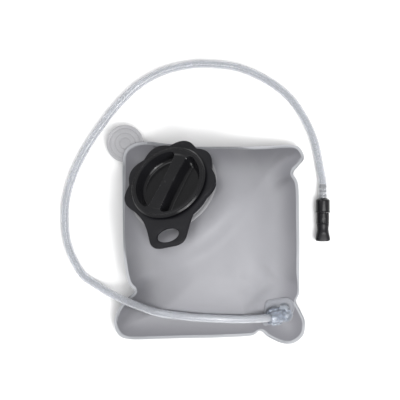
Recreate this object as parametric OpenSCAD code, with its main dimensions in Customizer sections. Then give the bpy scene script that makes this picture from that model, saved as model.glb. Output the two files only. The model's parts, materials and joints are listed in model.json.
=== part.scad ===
// Hydration bladder: an inflated welded bag with a tilted filling port and
// screw cap, a corner outlet, a drinking hose and a bite valve with a twist
// shut-off. Millimetres, +Z up, the bag lying on its back film.

/* [Bag] */
// Width of the inflated bag between the middles of its sides
bag_w = 206; // [180:1:260]
// Length of the inflated bag between the middles of its ends
bag_l = 222; // [190:1:280]
// Height of the inflated bag at its crown
bag_t = 92; // [80:1:110]
// Thickness of each film, measured upright
film_t = 0.8; // [0.5:0.1:1.2]
// Width of the welded rim
rim_w = 3.3; // [2:0.1:5]
// Height of the welded rim at the middle of a side
seam_h = 38; // [30:1:45]
// How much lower the rim lies at the corners
corner_droop = 25; // [15:1:27]
// Distance over which the front film rises from the rim to the crown
front_roll = 75; // [60:1:85]
// Distance over which the back film falls from the rim to the floor
back_roll = 45; // [35:1:55]

/* [Hanging disc] */
// Radius of the ribbed disc welded behind the top left corner
disc_r = 22; // [16:0.5:26]
// Thickness of the disc
disc_t = 2.4; // [1.6:0.1:4]
// Height of the face that carries the film
disc_top = 11; // [9:0.5:12]
// Depth of the grooves between its ribs
groove_d = 0.8; // [0.4:0.1:1.2]

/* [Filling port] */
// Gap between the left side and the flange, seen from above
port_left_gap = 12.4; // [11:0.1:30]
// Gap between the top end and the flange, seen from above
port_top_gap = 3.6; // [3.5:0.1:20]
// Tilt of the port's axis from upright
port_tilt = 37; // [30:1:40]
// Compass direction that the port faces, from +X
port_lean = 129; // [110:1:140]
// Width of the weld flange outside the neck
flange_w = 4.9; // [4:0.1:7]
// Thickness of the weld flange
flange_t = 1.6; // [1:0.1:2.5]
// Wall of the neck
neck_wall = 2; // [1.5:0.1:3]
// Height of the neck above the film
neck_h = 8; // [6:0.5:8.5]

/* [Collar and handle] */
// Radius of the threaded bore
collar_bore_r = 43.3; // [36:0.1:45]
// Wall of the threaded tube
collar_wall = 2; // [1.6:0.1:3]
// Gap between the neck and the skirt
skirt_gap = 1.2; // [0.6:0.1:2]
// How far the lobes stand out
lobe_h = 5; // [2:0.5:7]
// Height of the collar's top face above the film
collar_h = 12.5; // [12:0.5:14]
// Thickness of the top plate and the handle
plate_t = 3; // [2.5:0.1:3.5]
// Thickness of the lobed skirt
skirt_t = 2.2; // [1.6:0.1:2.4]
// Direction of the handle in the port's own plane
handle_dir = -84; // [-100:1:-70]
// Web between the collar and the finger hole
handle_web = 6.05; // [5:0.05:12]
// Width of the handle beyond the finger hole
handle_end = 5.85; // [5:0.05:10]
// Width of the handle beside the finger hole
handle_side = 7.75; // [6:0.05:10]
// Length of the finger hole across the handle
finger_w = 25.5; // [22:0.5:28]
// Width of the finger hole along the handle
finger_d = 16.5; // [14:0.5:20]

/* [Screw cap] */
// How far the cap's rim reaches over the collar's bore
cap_overlap = 1.7; // [1.2:0.1:4]
// Thickness of the cap's rim
cap_rim_t = 3; // [2.5:0.1:4]
// Wall between the cap's thread and its recess
cap_wall = 3.2; // [2.4:0.1:5]
// Height of the recess floor above the film
recess_floor = 5; // [4:0.1:6]
// Thickness of the recess floor
cap_floor_t = 2; // [1.6:0.1:2.4]
// Width of the grip bar
grip_w = 14.5; // [12:0.5:18]
// Direction of the grip bar in the port's own plane
grip_dir = 69; // [0:1:90]
// Depth of the thread
thread_h = 1.3; // [1:0.1:1.6]
// Advance of the thread in one turn
thread_lead = 8; // [7.6:0.1:9]
// Number of thread starts
thread_starts = 2; // [1:1:2]

/* [Outlet] */
// Distance of the outlet's centre from the right side
outlet_from_right = 21.5; // [20:0.5:40]
// Distance of the outlet's centre from the bottom end
outlet_from_bottom = 32; // [28:1:45]
// Height of the outlet's centre
outlet_z = 40; // [36:1:44]
// Tilt of the outlet from upright
outlet_tilt = 34; // [28:1:38]
// Compass direction that the outlet leans to
outlet_lean = -45; // [-55:1:-40]
// Half of the weld patch's width
patch_half = 17; // [15:0.5:20]
// Length of the weld patch's square end
patch_len = 23; // [18:0.5:26]
// Thickness of the weld patch
patch_t = 1.2; // [0.8:0.1:2]
// Radius of the outlet's socket
socket_r = 7.6; // [7:0.1:8]
// Radius of the elbow's dome
dome_r = 8.6; // [8:0.1:9.5]
// Radius of the grip collar on the hose, without its bumps
nut_r = 9.2; // [8.6:0.1:10]
// How far the grip bumps stand out
nut_bump = 0.5; // [0.3:0.1:0.8]
// Length of the grip collar
nut_len = 14; // [12:0.5:18]

/* [Hose and bite valve] */
// Outer diameter of the hose
hose_d = 9; // [8:0.1:10]
// Inner diameter of the hose
hose_bore = 6.4; // [5:0.1:6.8]
// Radius of the valve's housing
housing_r = 8.2; // [8:0.1:9]
// Length of the valve's housing
housing_len = 15.6; // [14:0.1:18]
// Wall of the valve's housing
housing_wall = 1.4; // [1:0.1:1.6]
// Radius of the turning sleeve
sleeve_r = 7.45; // [7:0.05:7.8]
// Length of the turning sleeve
sleeve_len = 13.5; // [12:0.5:16]
// Largest radius of the mouthpiece
flare_r = 8.7; // [8:0.1:9]
// Length of the mouthpiece
mouth_len = 20; // [18:0.5:24]
// Length of the barb that the hose is pushed on
barb_len = 16; // [12:0.5:18]

/* [Clearances] */
// Gap between pieces that turn or slide on each other
run_gap = 0.08; // [0.05:0.01:0.1]
// Gap between pieces that are fitted and stay put
fit_gap = 0.1; // [0.05:0.05:0.2]
// Gap between pieces that come apart
free_gap = 0.3; // [0.3:0.05:0.5]

/* [Hidden] */
$fn = 96;

film_colour = [0.66, 0.66, 0.69, 0.75];
clear_colour = [0.78, 0.83, 0.88, 0.6];
black_colour = [0.12, 0.12, 0.13];
rubber_colour = [0.2, 0.2, 0.22];

thread_gap = 0.4;

// ---- helpers ----
function clamp01(t) = min(max(t, 0), 1);
function smooth(t) = let (c = clamp01(t)) c * c * (3 - 2 * c);
function mix(a, b, t) = a * (1 - t) + b * t;
function spline(a, b, c, d, t) =
    0.5 * (2 * b + (c - a) * t + (2 * a - 5 * b + 4 * c - d) * t * t + (3 * b - a - 3 * c + d) * t * t * t);
function arc(centre, r, from, to, steps) =
    [for (i = [0 : steps]) let (a = mix(from, to, i / steps)) centre + r * [cos(a), sin(a)]];
function ellipse(rx, ry, steps) =
    [for (i = [0 : steps - 1]) let (a = 360 * i / steps) [rx * cos(a), ry * sin(a)]];
// quads between ring a and ring b, each of n points that start at those indices
function band(a, b, n) =
    [for (i = [0 : n - 1]) let (j = (i + 1) % n) each [[a + i, a + j, b + j], [a + i, b + j, b + i]]];

// ---- outline of the inflated bag: offsets from each square corner, anticlockwise ----
top_right_ear = [[-0.5, -46], [-6, -32], [0.5, -23], [8, -13], [2, -0.5], [-12.5, 2], [-43, -0.3],
    [-83, -1.3]];
top_left_round = [[83, -1.3], [66, 1.2], [48, 3], [28, 6], [10, 2.5], [0, -10], [0.5, -41], [2, -91]];
bottom_left_ear = [[3.5, 86], [8, 63], [14.5, 53], [4.5, 43], [-5, 31], [-10.5, 14], [-5, -1], [9, -5.5],
    [43, -3], [83, -0.5]];
bottom_right_ear = [[-83, 0.5], [-55, 1.5], [-45, 7], [-35, -1], [-19, -9.5], [-5, -10.5], [7, -1], [9, 15],
    [3, 29], [-3, 40.5], [0.5, 51], [0, 71], [-0.5, 131]];
outline_steps = 2;
half_w = bag_w / 2;
half_l = bag_l / 2;
outline_points = concat(
    [for (p = top_right_ear) p + [half_w, half_l]],
    [for (p = top_left_round) p + [-half_w, half_l]],
    [for (p = bottom_left_ear) p + [-half_w, -half_l]],
    [for (p = bottom_right_ear) p + [half_w, -half_l]]);
outline_count = len(outline_points);
outline = [for (i = [0 : outline_count - 1], k = [0 : outline_steps - 1])
    spline(outline_points[(i + outline_count - 1) % outline_count], outline_points[i],
        outline_points[(i + 1) % outline_count], outline_points[(i + 2) % outline_count], k / outline_steps)];
spokes = len(outline);

// distance of a point from the outline
function segment_distance(p, a, b) =
    let (t = clamp01((p - a) * (b - a) / ((b - a) * (b - a)))) norm(p - mix(a, b, t));
function edge_distance(p) =
    min([for (i = [0 : spokes - 1]) segment_distance(p, outline[i], outline[(i + 1) % spokes])]);

// ---- hanging disc ----
disc_at = [-half_w + 2, half_l + 4];
disc_ribs = [for (i = [0 : 2]) disc_r - 4.5 - 5.5 * i];
disc_blend = 14;
function near_disc(p) = 1 - smooth((norm(p - disc_at) - disc_r - 1) / disc_blend);

// ---- filling port frame ----
neck_r = collar_bore_r + collar_wall + free_gap;
flange_r = neck_r + neck_wall + flange_w;
flange_reach = flange_r * [norm([cos(port_lean) * cos(port_tilt), sin(port_lean)]),
    norm([sin(port_lean) * cos(port_tilt), cos(port_lean)])];
port_at = [-half_w + port_left_gap + flange_reach[0], half_l - port_top_gap - flange_reach[1]];
port_z = bag_t - flange_r * sin(port_tilt);
port_margin = 1.5;
port_blend = 42;
function lean_part(p, at, lean) = (p - at) * [cos(lean), sin(lean)];
function cross_part(p, at, lean) = (p - at) * [-sin(lean), cos(lean)];
function tilted_plane(p, at, z, tilt, lean) = z - tan(tilt) * lean_part(p, at, lean);
function tilted_radius(p, at, tilt, lean) = norm([lean_part(p, at, lean) / cos(tilt), cross_part(p, at, lean)]);
// plan position of the point of a tilted circle of radius r that lies in the plan direction angle
function tilted_circle(at, tilt, lean, r, angle) =
    let (turn = atan2(cos(tilt) * sin(angle - lean), cos(angle - lean)))
    at + r * cos(turn) * cos(tilt) * [cos(lean), sin(lean)] + r * sin(turn) * [-sin(lean), cos(lean)];

// ---- outlet frame ----
outlet_at = [half_w - outlet_from_right, -half_l + outlet_from_bottom];
outlet_flat_r = norm([patch_len, patch_half]) + 0.5;
outlet_blend = 26;

// ---- film heights ----
corner_share = 0.75;
back_corner_share = 0.6;
back_corner_from = 0.45;
rise_power = 2.2;
function cornerness(p) = min(abs(p[0]) / half_w * abs(p[1]) / half_l, 1);
function seam_z(p) =
    mix(seam_h - corner_droop * pow(cornerness(p), 1.5), disc_top + film_t, near_disc(p));
function rise(d, roll) = 1 - pow(1 - clamp01(d / roll), rise_power);
function pillow_z(p) = let (low = seam_z(p), d = max(edge_distance(p) - rim_w, 0))
    low + (bag_t - film_t - low) * rise(d, front_roll) * (1 - corner_share * smooth(cornerness(p)));
function front_z(p) =
    let (pillow = pillow_z(p),
        on_port = tilted_plane(p, port_at, port_z, port_tilt, port_lean) - film_t,
        port_share = 1 - smooth((tilted_radius(p, port_at, port_tilt, port_lean) - flange_r - port_margin) / port_blend),
        on_outlet = tilted_plane(p, outlet_at, outlet_z, outlet_tilt, outlet_lean) - film_t,
        outlet_share = 1 - smooth((tilted_radius(p, outlet_at, outlet_tilt, outlet_lean) - outlet_flat_r) / outlet_blend))
    mix(mix(pillow, on_port, port_share), on_outlet, outlet_share);
function back_z(p) = let (low = seam_z(p), d = max(edge_distance(p) - rim_w, 0),
        share = 1 - back_corner_share * smooth((cornerness(p) - back_corner_from) / (1 - back_corner_from)))
    mix(film_t + (low - film_t) * (1 - rise(d, back_roll) * share), disc_top + film_t, near_disc(p));

// ---- drinking hose: route of its centre line on the bag and the floor ----
floor_z = hose_d / 2;
ring_lip = 0.3;
valve_z = max(flare_r, housing_r + ring_lip) + fit_gap;
hose_end_y = 50.5;
valve_x = 134;
hose_route = [[79.5, -84, 52], [66.5, -85.2, 57.5], [50, -85.5, 63.5], [33, -85, 69.5], [15, -84, 74],
    [-2, -83, 76.2], [-18, -82, 76.2], [-34, -80.5, 74.8], [-50, -79, 72.2], [-64, -77, 66], [-78, -74, 53.5],
    [-94, -70, 40], [-110, -64.5, 26.5], [-124, -59, 14], [-137, -52, 6], [-151, -42.5, floor_z],
    [-161, -27, floor_z], [-168, -11, floor_z], [-172, 5, floor_z], [-173.5, 26, floor_z],
    [-171.5, 51, floor_z], [-162, 82, floor_z], [-145.5, 114, floor_z], [-121, 149, floor_z],
    [-102, 170.5, floor_z], [-84, 186.5, floor_z], [-58, 201, floor_z], [-30, 208.5, floor_z], [-4, 210.5, floor_z],
    [34, 206, floor_z], [71, 189.5, floor_z], [98.5, 166.5, floor_z], [117, 137, floor_z], [126, 113, floor_z],
    [130.5, 91, floor_z], [valve_x, 71, 6.5], [valve_x, 60, valve_z], [valve_x, hose_end_y, valve_z]];
hose_steps = 2;
hose_sides = 10;

// ---- frame: origin at the middle of the box of everything but the hose and its valve ----
left_end = min(min([for (p = outline) p[0]]), disc_at[0] - disc_r);
right_end = max([for (p = outline) p[0]]);
bottom_end = min([for (p = outline) p[1]]);
top_end = max(max([for (p = outline) p[1]]), disc_at[1] + disc_r);
module in_frame() {
    translate([-(left_end + right_end) / 2, -(bottom_end + top_end) / 2, 0]) children();
}
module on_port() {
    translate([port_at[0], port_at[1], port_z]) rotate([0, 0, port_lean]) rotate([0, port_tilt, 0])
        rotate([0, 0, -port_lean]) children();
}
module on_outlet() {
    translate([outlet_at[0], outlet_at[1], outlet_z]) rotate([0, 0, outlet_lean]) rotate([0, outlet_tilt, 0])
        rotate([0, 0, -outlet_lean]) children();
}
module ring(r_out, r_in, z0, z1) {
    rotate_extrude() translate([r_in, z0]) square([r_out - r_in, z1 - z0]);
}

// ---- films ----
// A film between its inner surface and the outer one, film_t away (side 1: above, -1: below).
// rings is a list of rings of inner points, from the middle outwards; closed_middle adds a centre point.
module film_shell(rings, side, centre) {
    count = len(rings);
    inner = [for (r = rings) each r];
    outer = [for (p = inner) p + [0, 0, side * film_t]];
    shift = len(inner);
    flat = [for (k = [0 : count - 2]) each band(k * spokes, (k + 1) * spokes, spokes)];
    last = (count - 1) * spokes;
    rim_faces = band(last, last + shift, spokes);
    has_centre = len(centre) == 3;
    hub = 2 * shift;
    hub_inner = [for (i = [0 : spokes - 1]) [hub, i, (i + 1) % spokes]];
    hub_outer = [for (i = [0 : spokes - 1]) [hub + 1, shift + (i + 1) % spokes, shift + i]];
    hole_faces = [for (f = band(0, shift, spokes)) [f[0], f[2], f[1]]];
    up_faces = concat(
        [for (f = flat) [f[0], f[1], f[2]]],
        [for (f = flat) [f[0] + shift, f[2] + shift, f[1] + shift]],
        rim_faces,
        has_centre ? [for (f = concat(hub_inner, hub_outer)) [f[0], f[2], f[1]]] : hole_faces);
    polyhedron(
        points = concat(inner, outer, has_centre ? [centre, centre + [0, 0, side * film_t]] : []),
        faces = side > 0 ? [for (f = up_faces) [f[0], f[2], f[1]]] : up_faces,
        convexity = 6);
}

// The front film's points lie on spokes: from the neck straight to a five-sided middle line, given by the
// direction of each side and a point on it, and from there straight to the rim on rays from the bag's middle.
middle_sides = [[0, [half_w - 11, 0]], [90, [0, half_l - 6.6]], [180, [-half_w + 7, 0]],
    [270, [0, -half_l + 13]], [200, [-half_w + 19, -half_l + 55]]];
inner_rings = 9;
outer_rings = 5;
start_margin = 1;
function rim_point(o) = o * (1 - rim_w / norm(o));
function middle_point(o) = let (ray = o / norm(o))
    ray * min([for (side = middle_sides) let (normal = [cos(side[0]), sin(side[0])], facing = ray * normal)
        facing > 0.001 ? side[1] * normal / facing : norm(o)]);
function spoke_angle(o) = let (d = middle_point(o) - port_at) atan2(d[1], d[0]);
function front_plan(o, k) =
    let (start_r = neck_r + neck_wall + start_margin,
        start = tilted_circle(port_at, port_tilt, port_lean, start_r, spoke_angle(o)))
    k < inner_rings ? mix(start, middle_point(o), k / inner_rings)
        : mix(middle_point(o), rim_point(o), (k - inner_rings) / outer_rings);
module front_film() {
    color(film_colour) in_frame() {
        hole = [for (o = outline)
            let (q = tilted_circle(port_at, port_tilt, port_lean, neck_r, spoke_angle(o)))
            [q[0], q[1], tilted_plane(q, port_at, port_z, port_tilt, port_lean) - film_t]];
        film_shell(concat([hole],
            [for (k = [0 : inner_rings + outer_rings - 1]) [for (o = outline)
                let (q = front_plan(o, k)) [q[0], q[1], front_z(q)]]],
            [[for (o = outline) let (q = rim_point(o)) [q[0], q[1], seam_z(o)]]],
            [[for (o = outline) [o[0], o[1], seam_z(o)]]]), 1, []);
    }
}

back_shares = [0.3, 0.5, 0.62, 0.72, 0.8, 0.86, 0.91, 0.95];
module back_film() {
    color(film_colour) in_frame()
        film_shell(concat(
            [for (s = back_shares) [for (o = outline) let (q = rim_point(o) * s) [q[0], q[1], back_z(q)]]],
            [[for (o = outline) let (q = rim_point(o)) [q[0], q[1], seam_z(o)]]],
            [[for (o = outline) [o[0], o[1], seam_z(o)]]]), -1, [0, 0, film_t]);
}

module hanging_disc() {
    groove_w = 1.4;
    color(clear_colour) in_frame() translate([disc_at[0], disc_at[1], disc_top - disc_t]) difference() {
        cylinder(r = disc_r, h = disc_t);
        for (r = disc_ribs)
            ring(r + groove_w / 2, r - groove_w / 2, disc_t - groove_d, disc_t + 1);
    }
}

// ---- filling port ----
module port_flange() {
    color(clear_colour) in_frame() on_port() {
        ring(flange_r, neck_r, 0, flange_t);
        ring(neck_r + neck_wall, neck_r, 0, neck_h);
    }
}
seal_t = 1.2;
module collar_seal() {
    color(rubber_colour) in_frame() on_port()
        ring(neck_r + neck_wall, neck_r, neck_h + fit_gap, neck_h + fit_gap + seal_t);
}

valley_r = neck_r + neck_wall + skirt_gap + skirt_t;
lobe_r = valley_r + lobe_h;
finger_r = valley_r + handle_web + finger_d / 2;
handle_r = finger_r + finger_d / 2 + handle_end;
handle_w = finger_w + 2 * handle_side;
plug_r = collar_bore_r - thread_h - thread_gap;
recess_r = plug_r - cap_wall;
cap_r = collar_bore_r + cap_overlap;
lobe_pitch = 40;
lobe_span = 120;
lobe_sharpness = 0.6;
function collar_edge(angle) = let (a = angle - handle_dir - 180, b = a - 360 * round(a / 360))
    abs(b) < lobe_span
        ? valley_r + (lobe_r - valley_r) * pow(0.5 - 0.5 * cos(360 * b / lobe_pitch), lobe_sharpness)
        : valley_r;
module lobed_outline(inset) {
    polygon([for (a = [0 : 2 : 358]) (collar_edge(a) - inset) * [cos(a), sin(a)]]);
}
module handle_outline() {
    corner = 9;
    // each flank curves from its root on the collar, which is flank_w wider than the end, to the end
    flank_w = 12.5;
    root = valley_r - 11;
    end_w = 3;
    flank = [for (i = [0 : 6]) [mix(root, finger_r - 6.5, i / 6),
        handle_w / 2 + end_w + (flank_w - end_w) * pow(1 - i / 6, 1.4)]];
    rotate(handle_dir) polygon(concat(
        [for (q = flank) [q[0], -q[1]]],
        arc([handle_r - corner, -handle_w / 2 + corner], corner, -84, 0, 8),
        arc([handle_r - corner, handle_w / 2 - corner], corner, 0, 84, 8),
        [for (i = [6 : -1 : 0]) flank[i]]));
}
// One ridge of a screw thread, from z0 to z1, standing out from r_root to r_crest
module thread_ridge(r_root, r_crest, z0, z1, start_angle) {
    root_w = 1.6;
    crest_w = 0.8;
    root_sink = 0.4;
    step = 7.5;
    out = sign(r_crest - r_root);
    turns = (z1 - z0) / thread_lead;
    count = floor(turns * 360 / step);
    profile = [[r_root - out * root_sink, -root_w / 2], [r_crest, -crest_w / 2],
        [r_crest, crest_w / 2], [r_root - out * root_sink, root_w / 2]];
    rings = [for (i = [0 : count]) let (a = start_angle + i * step, z = z0 + thread_lead * i * step / 360)
        each [for (q = profile) [q[0] * cos(a), q[0] * sin(a), q[1] + z]]];
    faces = concat([[3, 2, 1, 0], [for (i = [0 : 3]) 4 * count + i]],
        [for (i = [0 : count - 1]) each band(4 * i, 4 * i + 4, 4)]);
    polyhedron(points = rings, faces = out > 0 ? faces : [for (f = faces) [for (i = [len(f) - 1 : -1 : 0]) f[i]]],
        convexity = 4);
}
thread_z0 = 4;
thread_len = 5;
thread_bite = thread_lead / thread_starts / 2;
module port_collar() {
    skirt_z = neck_h - 4.5;
    color(black_colour) in_frame() on_port() {
        difference() {
            union() {
                translate([0, 0, collar_h - plate_t]) linear_extrude(plate_t) difference() {
                    union() {
                        lobed_outline(0);
                        handle_outline();
                    }
                    rotate(handle_dir) translate([finger_r, 0]) polygon(ellipse(finger_d / 2, finger_w / 2, 40));
                }
                translate([0, 0, skirt_z]) linear_extrude(collar_h - plate_t - skirt_z) difference() {
                    lobed_outline(0);
                    lobed_outline(skirt_t);
                }
                translate([0, 0, free_gap]) cylinder(r = collar_bore_r + collar_wall, h = collar_h - free_gap);
            }
            translate([0, 0, -1]) cylinder(r = collar_bore_r, h = collar_h + 2);
        }
        for (i = [0 : thread_starts - 1])
            thread_ridge(collar_bore_r, plug_r + thread_gap, thread_z0 + thread_bite,
                thread_z0 + thread_bite + thread_len, i * 360 / thread_starts);
    }
}

// ---- screw cap ----
gasket_t = 1.4;
gasket_w = 2.2;
gasket_z = collar_h + free_gap;
rim_z = gasket_z + gasket_t + run_gap;
cap_top = rim_z + cap_rim_t;
module cap_gasket() {
    color(rubber_colour) in_frame() on_port()
        ring(plug_r + run_gap + gasket_w, plug_r + run_gap, gasket_z, gasket_z + gasket_t);
}
module fill_cap() {
    edge_r = 1.2;
    bar_drop = 0.4;
    bar_wall = 2;
    bar_hollow = 3;
    color(black_colour) in_frame() on_port() {
        difference() {
            union() {
                difference() {
                    rotate_extrude() polygon(concat([[0, recess_floor - cap_floor_t],
                        [plug_r, recess_floor - cap_floor_t], [plug_r, rim_z], [cap_r, rim_z]],
                        arc([cap_r - edge_r, cap_top - edge_r], edge_r, 0, 90, 6), [[0, cap_top]]));
                    translate([0, 0, recess_floor]) cylinder(r = recess_r, h = cap_top);
                }
                intersection() {
                    translate([0, 0, recess_floor - 1])
                        cylinder(r = recess_r + 1, h = cap_top - recess_floor + 1 - bar_drop);
                    rotate(grip_dir) translate([-cap_r, -grip_w / 2, 0]) cube([2 * cap_r, grip_w, cap_top]);
                }
            }
            rotate(grip_dir) translate([-recess_r + bar_hollow, -grip_w / 2 + bar_wall, -1])
                cube([2 * (recess_r - bar_hollow), grip_w - 2 * bar_wall, cap_top - bar_drop - bar_wall + 1]);
        }
        for (i = [0 : thread_starts - 1])
            thread_ridge(plug_r, collar_bore_r - thread_gap, thread_z0, thread_z0 + thread_len,
                i * 360 / thread_starts);
    }
}

// ---- outlet: local x points along the hose's run, away from the dome ----
outlet_run = 180;
seat_h = 3;
stem_r = socket_r - 1.6;
stem_bore = 3;
nut_start = socket_r + fit_gap;
outlet_axis_h = patch_t + fit_gap + nut_r + nut_bump;
module outlet_patch() {
    color(clear_colour) in_frame() on_outlet() rotate(outlet_run) difference() {
        union() {
            linear_extrude(patch_t) polygon(concat(arc([0, 0], patch_half, 90, 270, 24),
                [[patch_len, -patch_half], [patch_len, patch_half]]));
            cylinder(r = socket_r, h = seat_h);
        }
        translate([0, 0, -1]) cylinder(r = stem_r + fit_gap, h = seat_h + 2);
    }
}
module elbow_seal() {
    ring_r = 0.7;
    color(rubber_colour) in_frame() on_outlet() rotate_extrude()
        translate([stem_r - 0.5, patch_t + 0.2]) circle(r = ring_r - run_gap, $fn = 24);
}
module outlet_elbow() {
    groove_r = 0.7;
    axis_h = outlet_axis_h;
    barb_end = nut_start + nut_len - 2;
    color(clear_colour) in_frame() on_outlet() difference() {
        union() {
            translate([0, 0, free_gap]) cylinder(r = stem_r, h = axis_h);
            translate([0, 0, seat_h + fit_gap]) cylinder(r = dome_r, h = axis_h - seat_h - fit_gap);
            translate([0, 0, axis_h]) sphere(r = dome_r);
            translate([0, 0, axis_h]) rotate([0, -90, 0]) cylinder(r = hose_bore / 2, h = barb_end);
            translate([0, 0, axis_h]) rotate([0, -90, 0]) cylinder(r = hose_d / 2 + 1.6, h = nut_start - 0.2);
        }
        translate([0, 0, -1]) cylinder(r = stem_bore, h = axis_h + 1);
        translate([0, 0, axis_h]) rotate([0, -90, 0]) cylinder(r = hose_bore / 2 - 1, h = barb_end + 1);
        rotate_extrude() translate([stem_r - 0.5, patch_t + 0.2]) circle(r = groove_r, $fn = 24);
    }
}
module hose_collar() {
    bump_rows = 3;
    bumps = 12;
    bump_r = 0.9;
    bump_at = nut_r + nut_bump - bump_r;
    color(clear_colour) in_frame() on_outlet() translate([-nut_start, 0, outlet_axis_h]) rotate([0, -90, 0])
        difference() {
            union() {
                cylinder(r = nut_r, h = nut_len);
                for (row = [0 : bump_rows - 1], i = [0 : bumps - 1])
                    rotate(360 / bumps * i) translate([bump_at, 0, nut_len * (row + 0.5) / bump_rows])
                        sphere(r = bump_r, $fn = 16);
            }
            translate([0, 0, -1]) cylinder(r = hose_d / 2 + fit_gap, h = nut_len + 2);
        }
}

// ---- hose ----
route_count = len(hose_route);
function route_point(i) = hose_route[min(max(i, 0), route_count - 1)];
hose_line = concat(
    [for (i = [0 : route_count - 2], k = [0 : hose_steps - 1])
        spline(route_point(i - 1), route_point(i), route_point(i + 1), route_point(i + 2), k / hose_steps)],
    [hose_route[route_count - 1]]);
module tube_along(line, r, sides) {
    count = len(line);
    rings = [for (i = [0 : count - 1])
        let (along = line[min(i + 1, count - 1)] - line[max(i - 1, 0)],
            ahead = along / norm(along),
            across = cross(ahead, [0, 0, 1]),
            side = across / norm(across),
            up = cross(side, ahead))
        each [for (s = [0 : sides - 1]) let (a = 360 * s / sides) line[i] + r * (cos(a) * side + sin(a) * up)]];
    polyhedron(points = rings, faces = concat([[for (s = [sides - 1 : -1 : 0]) s]],
        [for (i = [0 : count - 2]) each band(sides * i, sides * (i + 1), sides)],
        [[for (s = [0 : sides - 1]) sides * (count - 1) + s]]), convexity = 8);
}
module drinking_hose() {
    color(clear_colour) in_frame() tube_along(hose_line, hose_d / 2, hose_sides);
}

// ---- bite valve: its own axis runs from the hose's end to the mouth ----
module on_valve() {
    translate([valve_x, hose_end_y, valve_z]) rotate([90, 0, 0]) children();
}
bore_r = 2.2;
cavity_r = housing_r - housing_wall;
cavity_z = 4;
seat_t = 1.6;
core_z = cavity_z + seat_t + run_gap;
core_top = 11;
valve_stem_r = 4;
stem_top = housing_len + 22;
port_r = 1.6;
port_offset = 3.2;
ring_groove_z = 8.6;
ring_r = 0.8;
lip_len = 1.8;
sleeve_z = housing_len + lip_len + free_gap;
mouth_z = sleeve_z + sleeve_len;
module valve_housing() {
    shoulder = 2.2;
    barb_ridges = 3;
    ridge_len = 4.2;
    ridge_h = 0.5;
    barb_r = hose_bore / 2;
    color(black_colour) in_frame() on_valve() difference() {
        union() {
            rotate_extrude() polygon(concat([[0, -barb_len]],
                [for (i = [0 : barb_ridges - 1]) each [[barb_r - ridge_h, -barb_len + i * (ridge_len + 1)],
                    [barb_r + ridge_h, -barb_len + i * (ridge_len + 1) + ridge_len * 0.8],
                    [barb_r - ridge_h, -barb_len + i * (ridge_len + 1) + ridge_len]]],
                [[barb_r, 0], [housing_r - 1.6, shoulder * 0.6], [housing_r, shoulder + 1], [housing_r, housing_len],
                    [0, housing_len]]));
        }
        translate([0, 0, -barb_len - 1]) cylinder(r = bore_r, h = barb_len + cavity_z);
        translate([0, 0, cavity_z - 1]) cylinder(r = cavity_r - 1.4, h = 2);
        translate([0, 0, cavity_z]) cylinder(r = cavity_r, h = housing_len);
    }
}
module seat_disc() {
    color(rubber_colour) in_frame() on_valve() difference() {
        translate([0, 0, cavity_z]) cylinder(r = cavity_r - fit_gap, h = seat_t);
        translate([0, port_offset, cavity_z - 1]) cylinder(r = port_r, h = seat_t + 2);
    }
}
module shutoff_core() {
    port_depth = 2;
    color([0.85, 0.86, 0.88]) in_frame() on_valve() difference() {
        union() {
            translate([0, 0, core_z]) cylinder(r = cavity_r - run_gap, h = core_top - core_z);
            translate([0, 0, core_z]) cylinder(r = valve_stem_r, h = stem_top - core_z);
        }
        translate([0, port_offset, core_z - 1]) cylinder(r = port_r, h = port_depth + 1.5);
        translate([0, 0, core_z + port_depth]) cylinder(r = 2.6, h = stem_top);
        rotate_extrude() translate([cavity_r - run_gap, ring_groove_z]) circle(r = ring_r + 0.1, $fn = 24);
    }
}
module core_ring() {
    color(rubber_colour) in_frame() on_valve() rotate_extrude()
        translate([cavity_r - run_gap - ring_r * 0.9, ring_groove_z]) intersection() {
            circle(r = ring_r - 0.1, $fn = 24);
            translate([-2, -1]) square([2 + ring_r * 0.8, 2]);
        }
}
module retaining_ring() {
    color(black_colour) in_frame() on_valve() {
        ring(cavity_r - fit_gap, valve_stem_r + run_gap, core_top + run_gap, housing_len);
        ring(housing_r + ring_lip, valve_stem_r + run_gap, housing_len, housing_len + lip_len);
    }
}
module valve_sleeve() {
    edge_r = 0.8;
    color(black_colour) in_frame() on_valve() rotate_extrude() polygon(concat(
        [[valve_stem_r, sleeve_z]], arc([sleeve_r - edge_r, sleeve_z + edge_r], edge_r, -90, 0, 5),
        [[sleeve_r, mouth_z], [valve_stem_r, mouth_z]]));
}
module mouthpiece() {
    waist_r = 6.7;
    wall = 1.5;
    slit_w = 0.4;
    slit_len = 8;
    end = mouth_z + mouth_len;
    color(rubber_colour) in_frame() on_valve() difference() {
        rotate_extrude() polygon([[0, mouth_z], [sleeve_r - 0.2, mouth_z], [sleeve_r - 0.3, mouth_z + 1],
            [waist_r, mouth_z + 4], [waist_r + 0.1, mouth_z + 7], [waist_r + 0.9, mouth_z + 11],
            [flare_r - 0.3, end - 5], [flare_r, end - 3], [flare_r - 0.4, end - 1.2], [flare_r - 1.6, end], [0, end]]);
        translate([0, 0, mouth_z - 1]) cylinder(r = valve_stem_r, h = stem_top - mouth_z + 1);
        rotate_extrude() polygon([[0, stem_top - 0.5], [valve_stem_r, stem_top - 0.5], [waist_r - wall, stem_top + 2],
            [flare_r - wall - 1, end - 4], [flare_r - wall - 1, end - wall], [0, end - wall]]);
        translate([-slit_len / 2, -slit_w / 2, end - wall - 1]) cube([slit_len, slit_w, wall + 2]);
    }
}

front_film();
back_film();
hanging_disc();
port_flange();
collar_seal();
port_collar();
cap_gasket();
fill_cap();
outlet_patch();
outlet_elbow();
elbow_seal();
hose_collar();
drinking_hose();
valve_housing();
seat_disc();
shutoff_core();
core_ring();
retaining_ring();
valve_sleeve();
mouthpiece();
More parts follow.
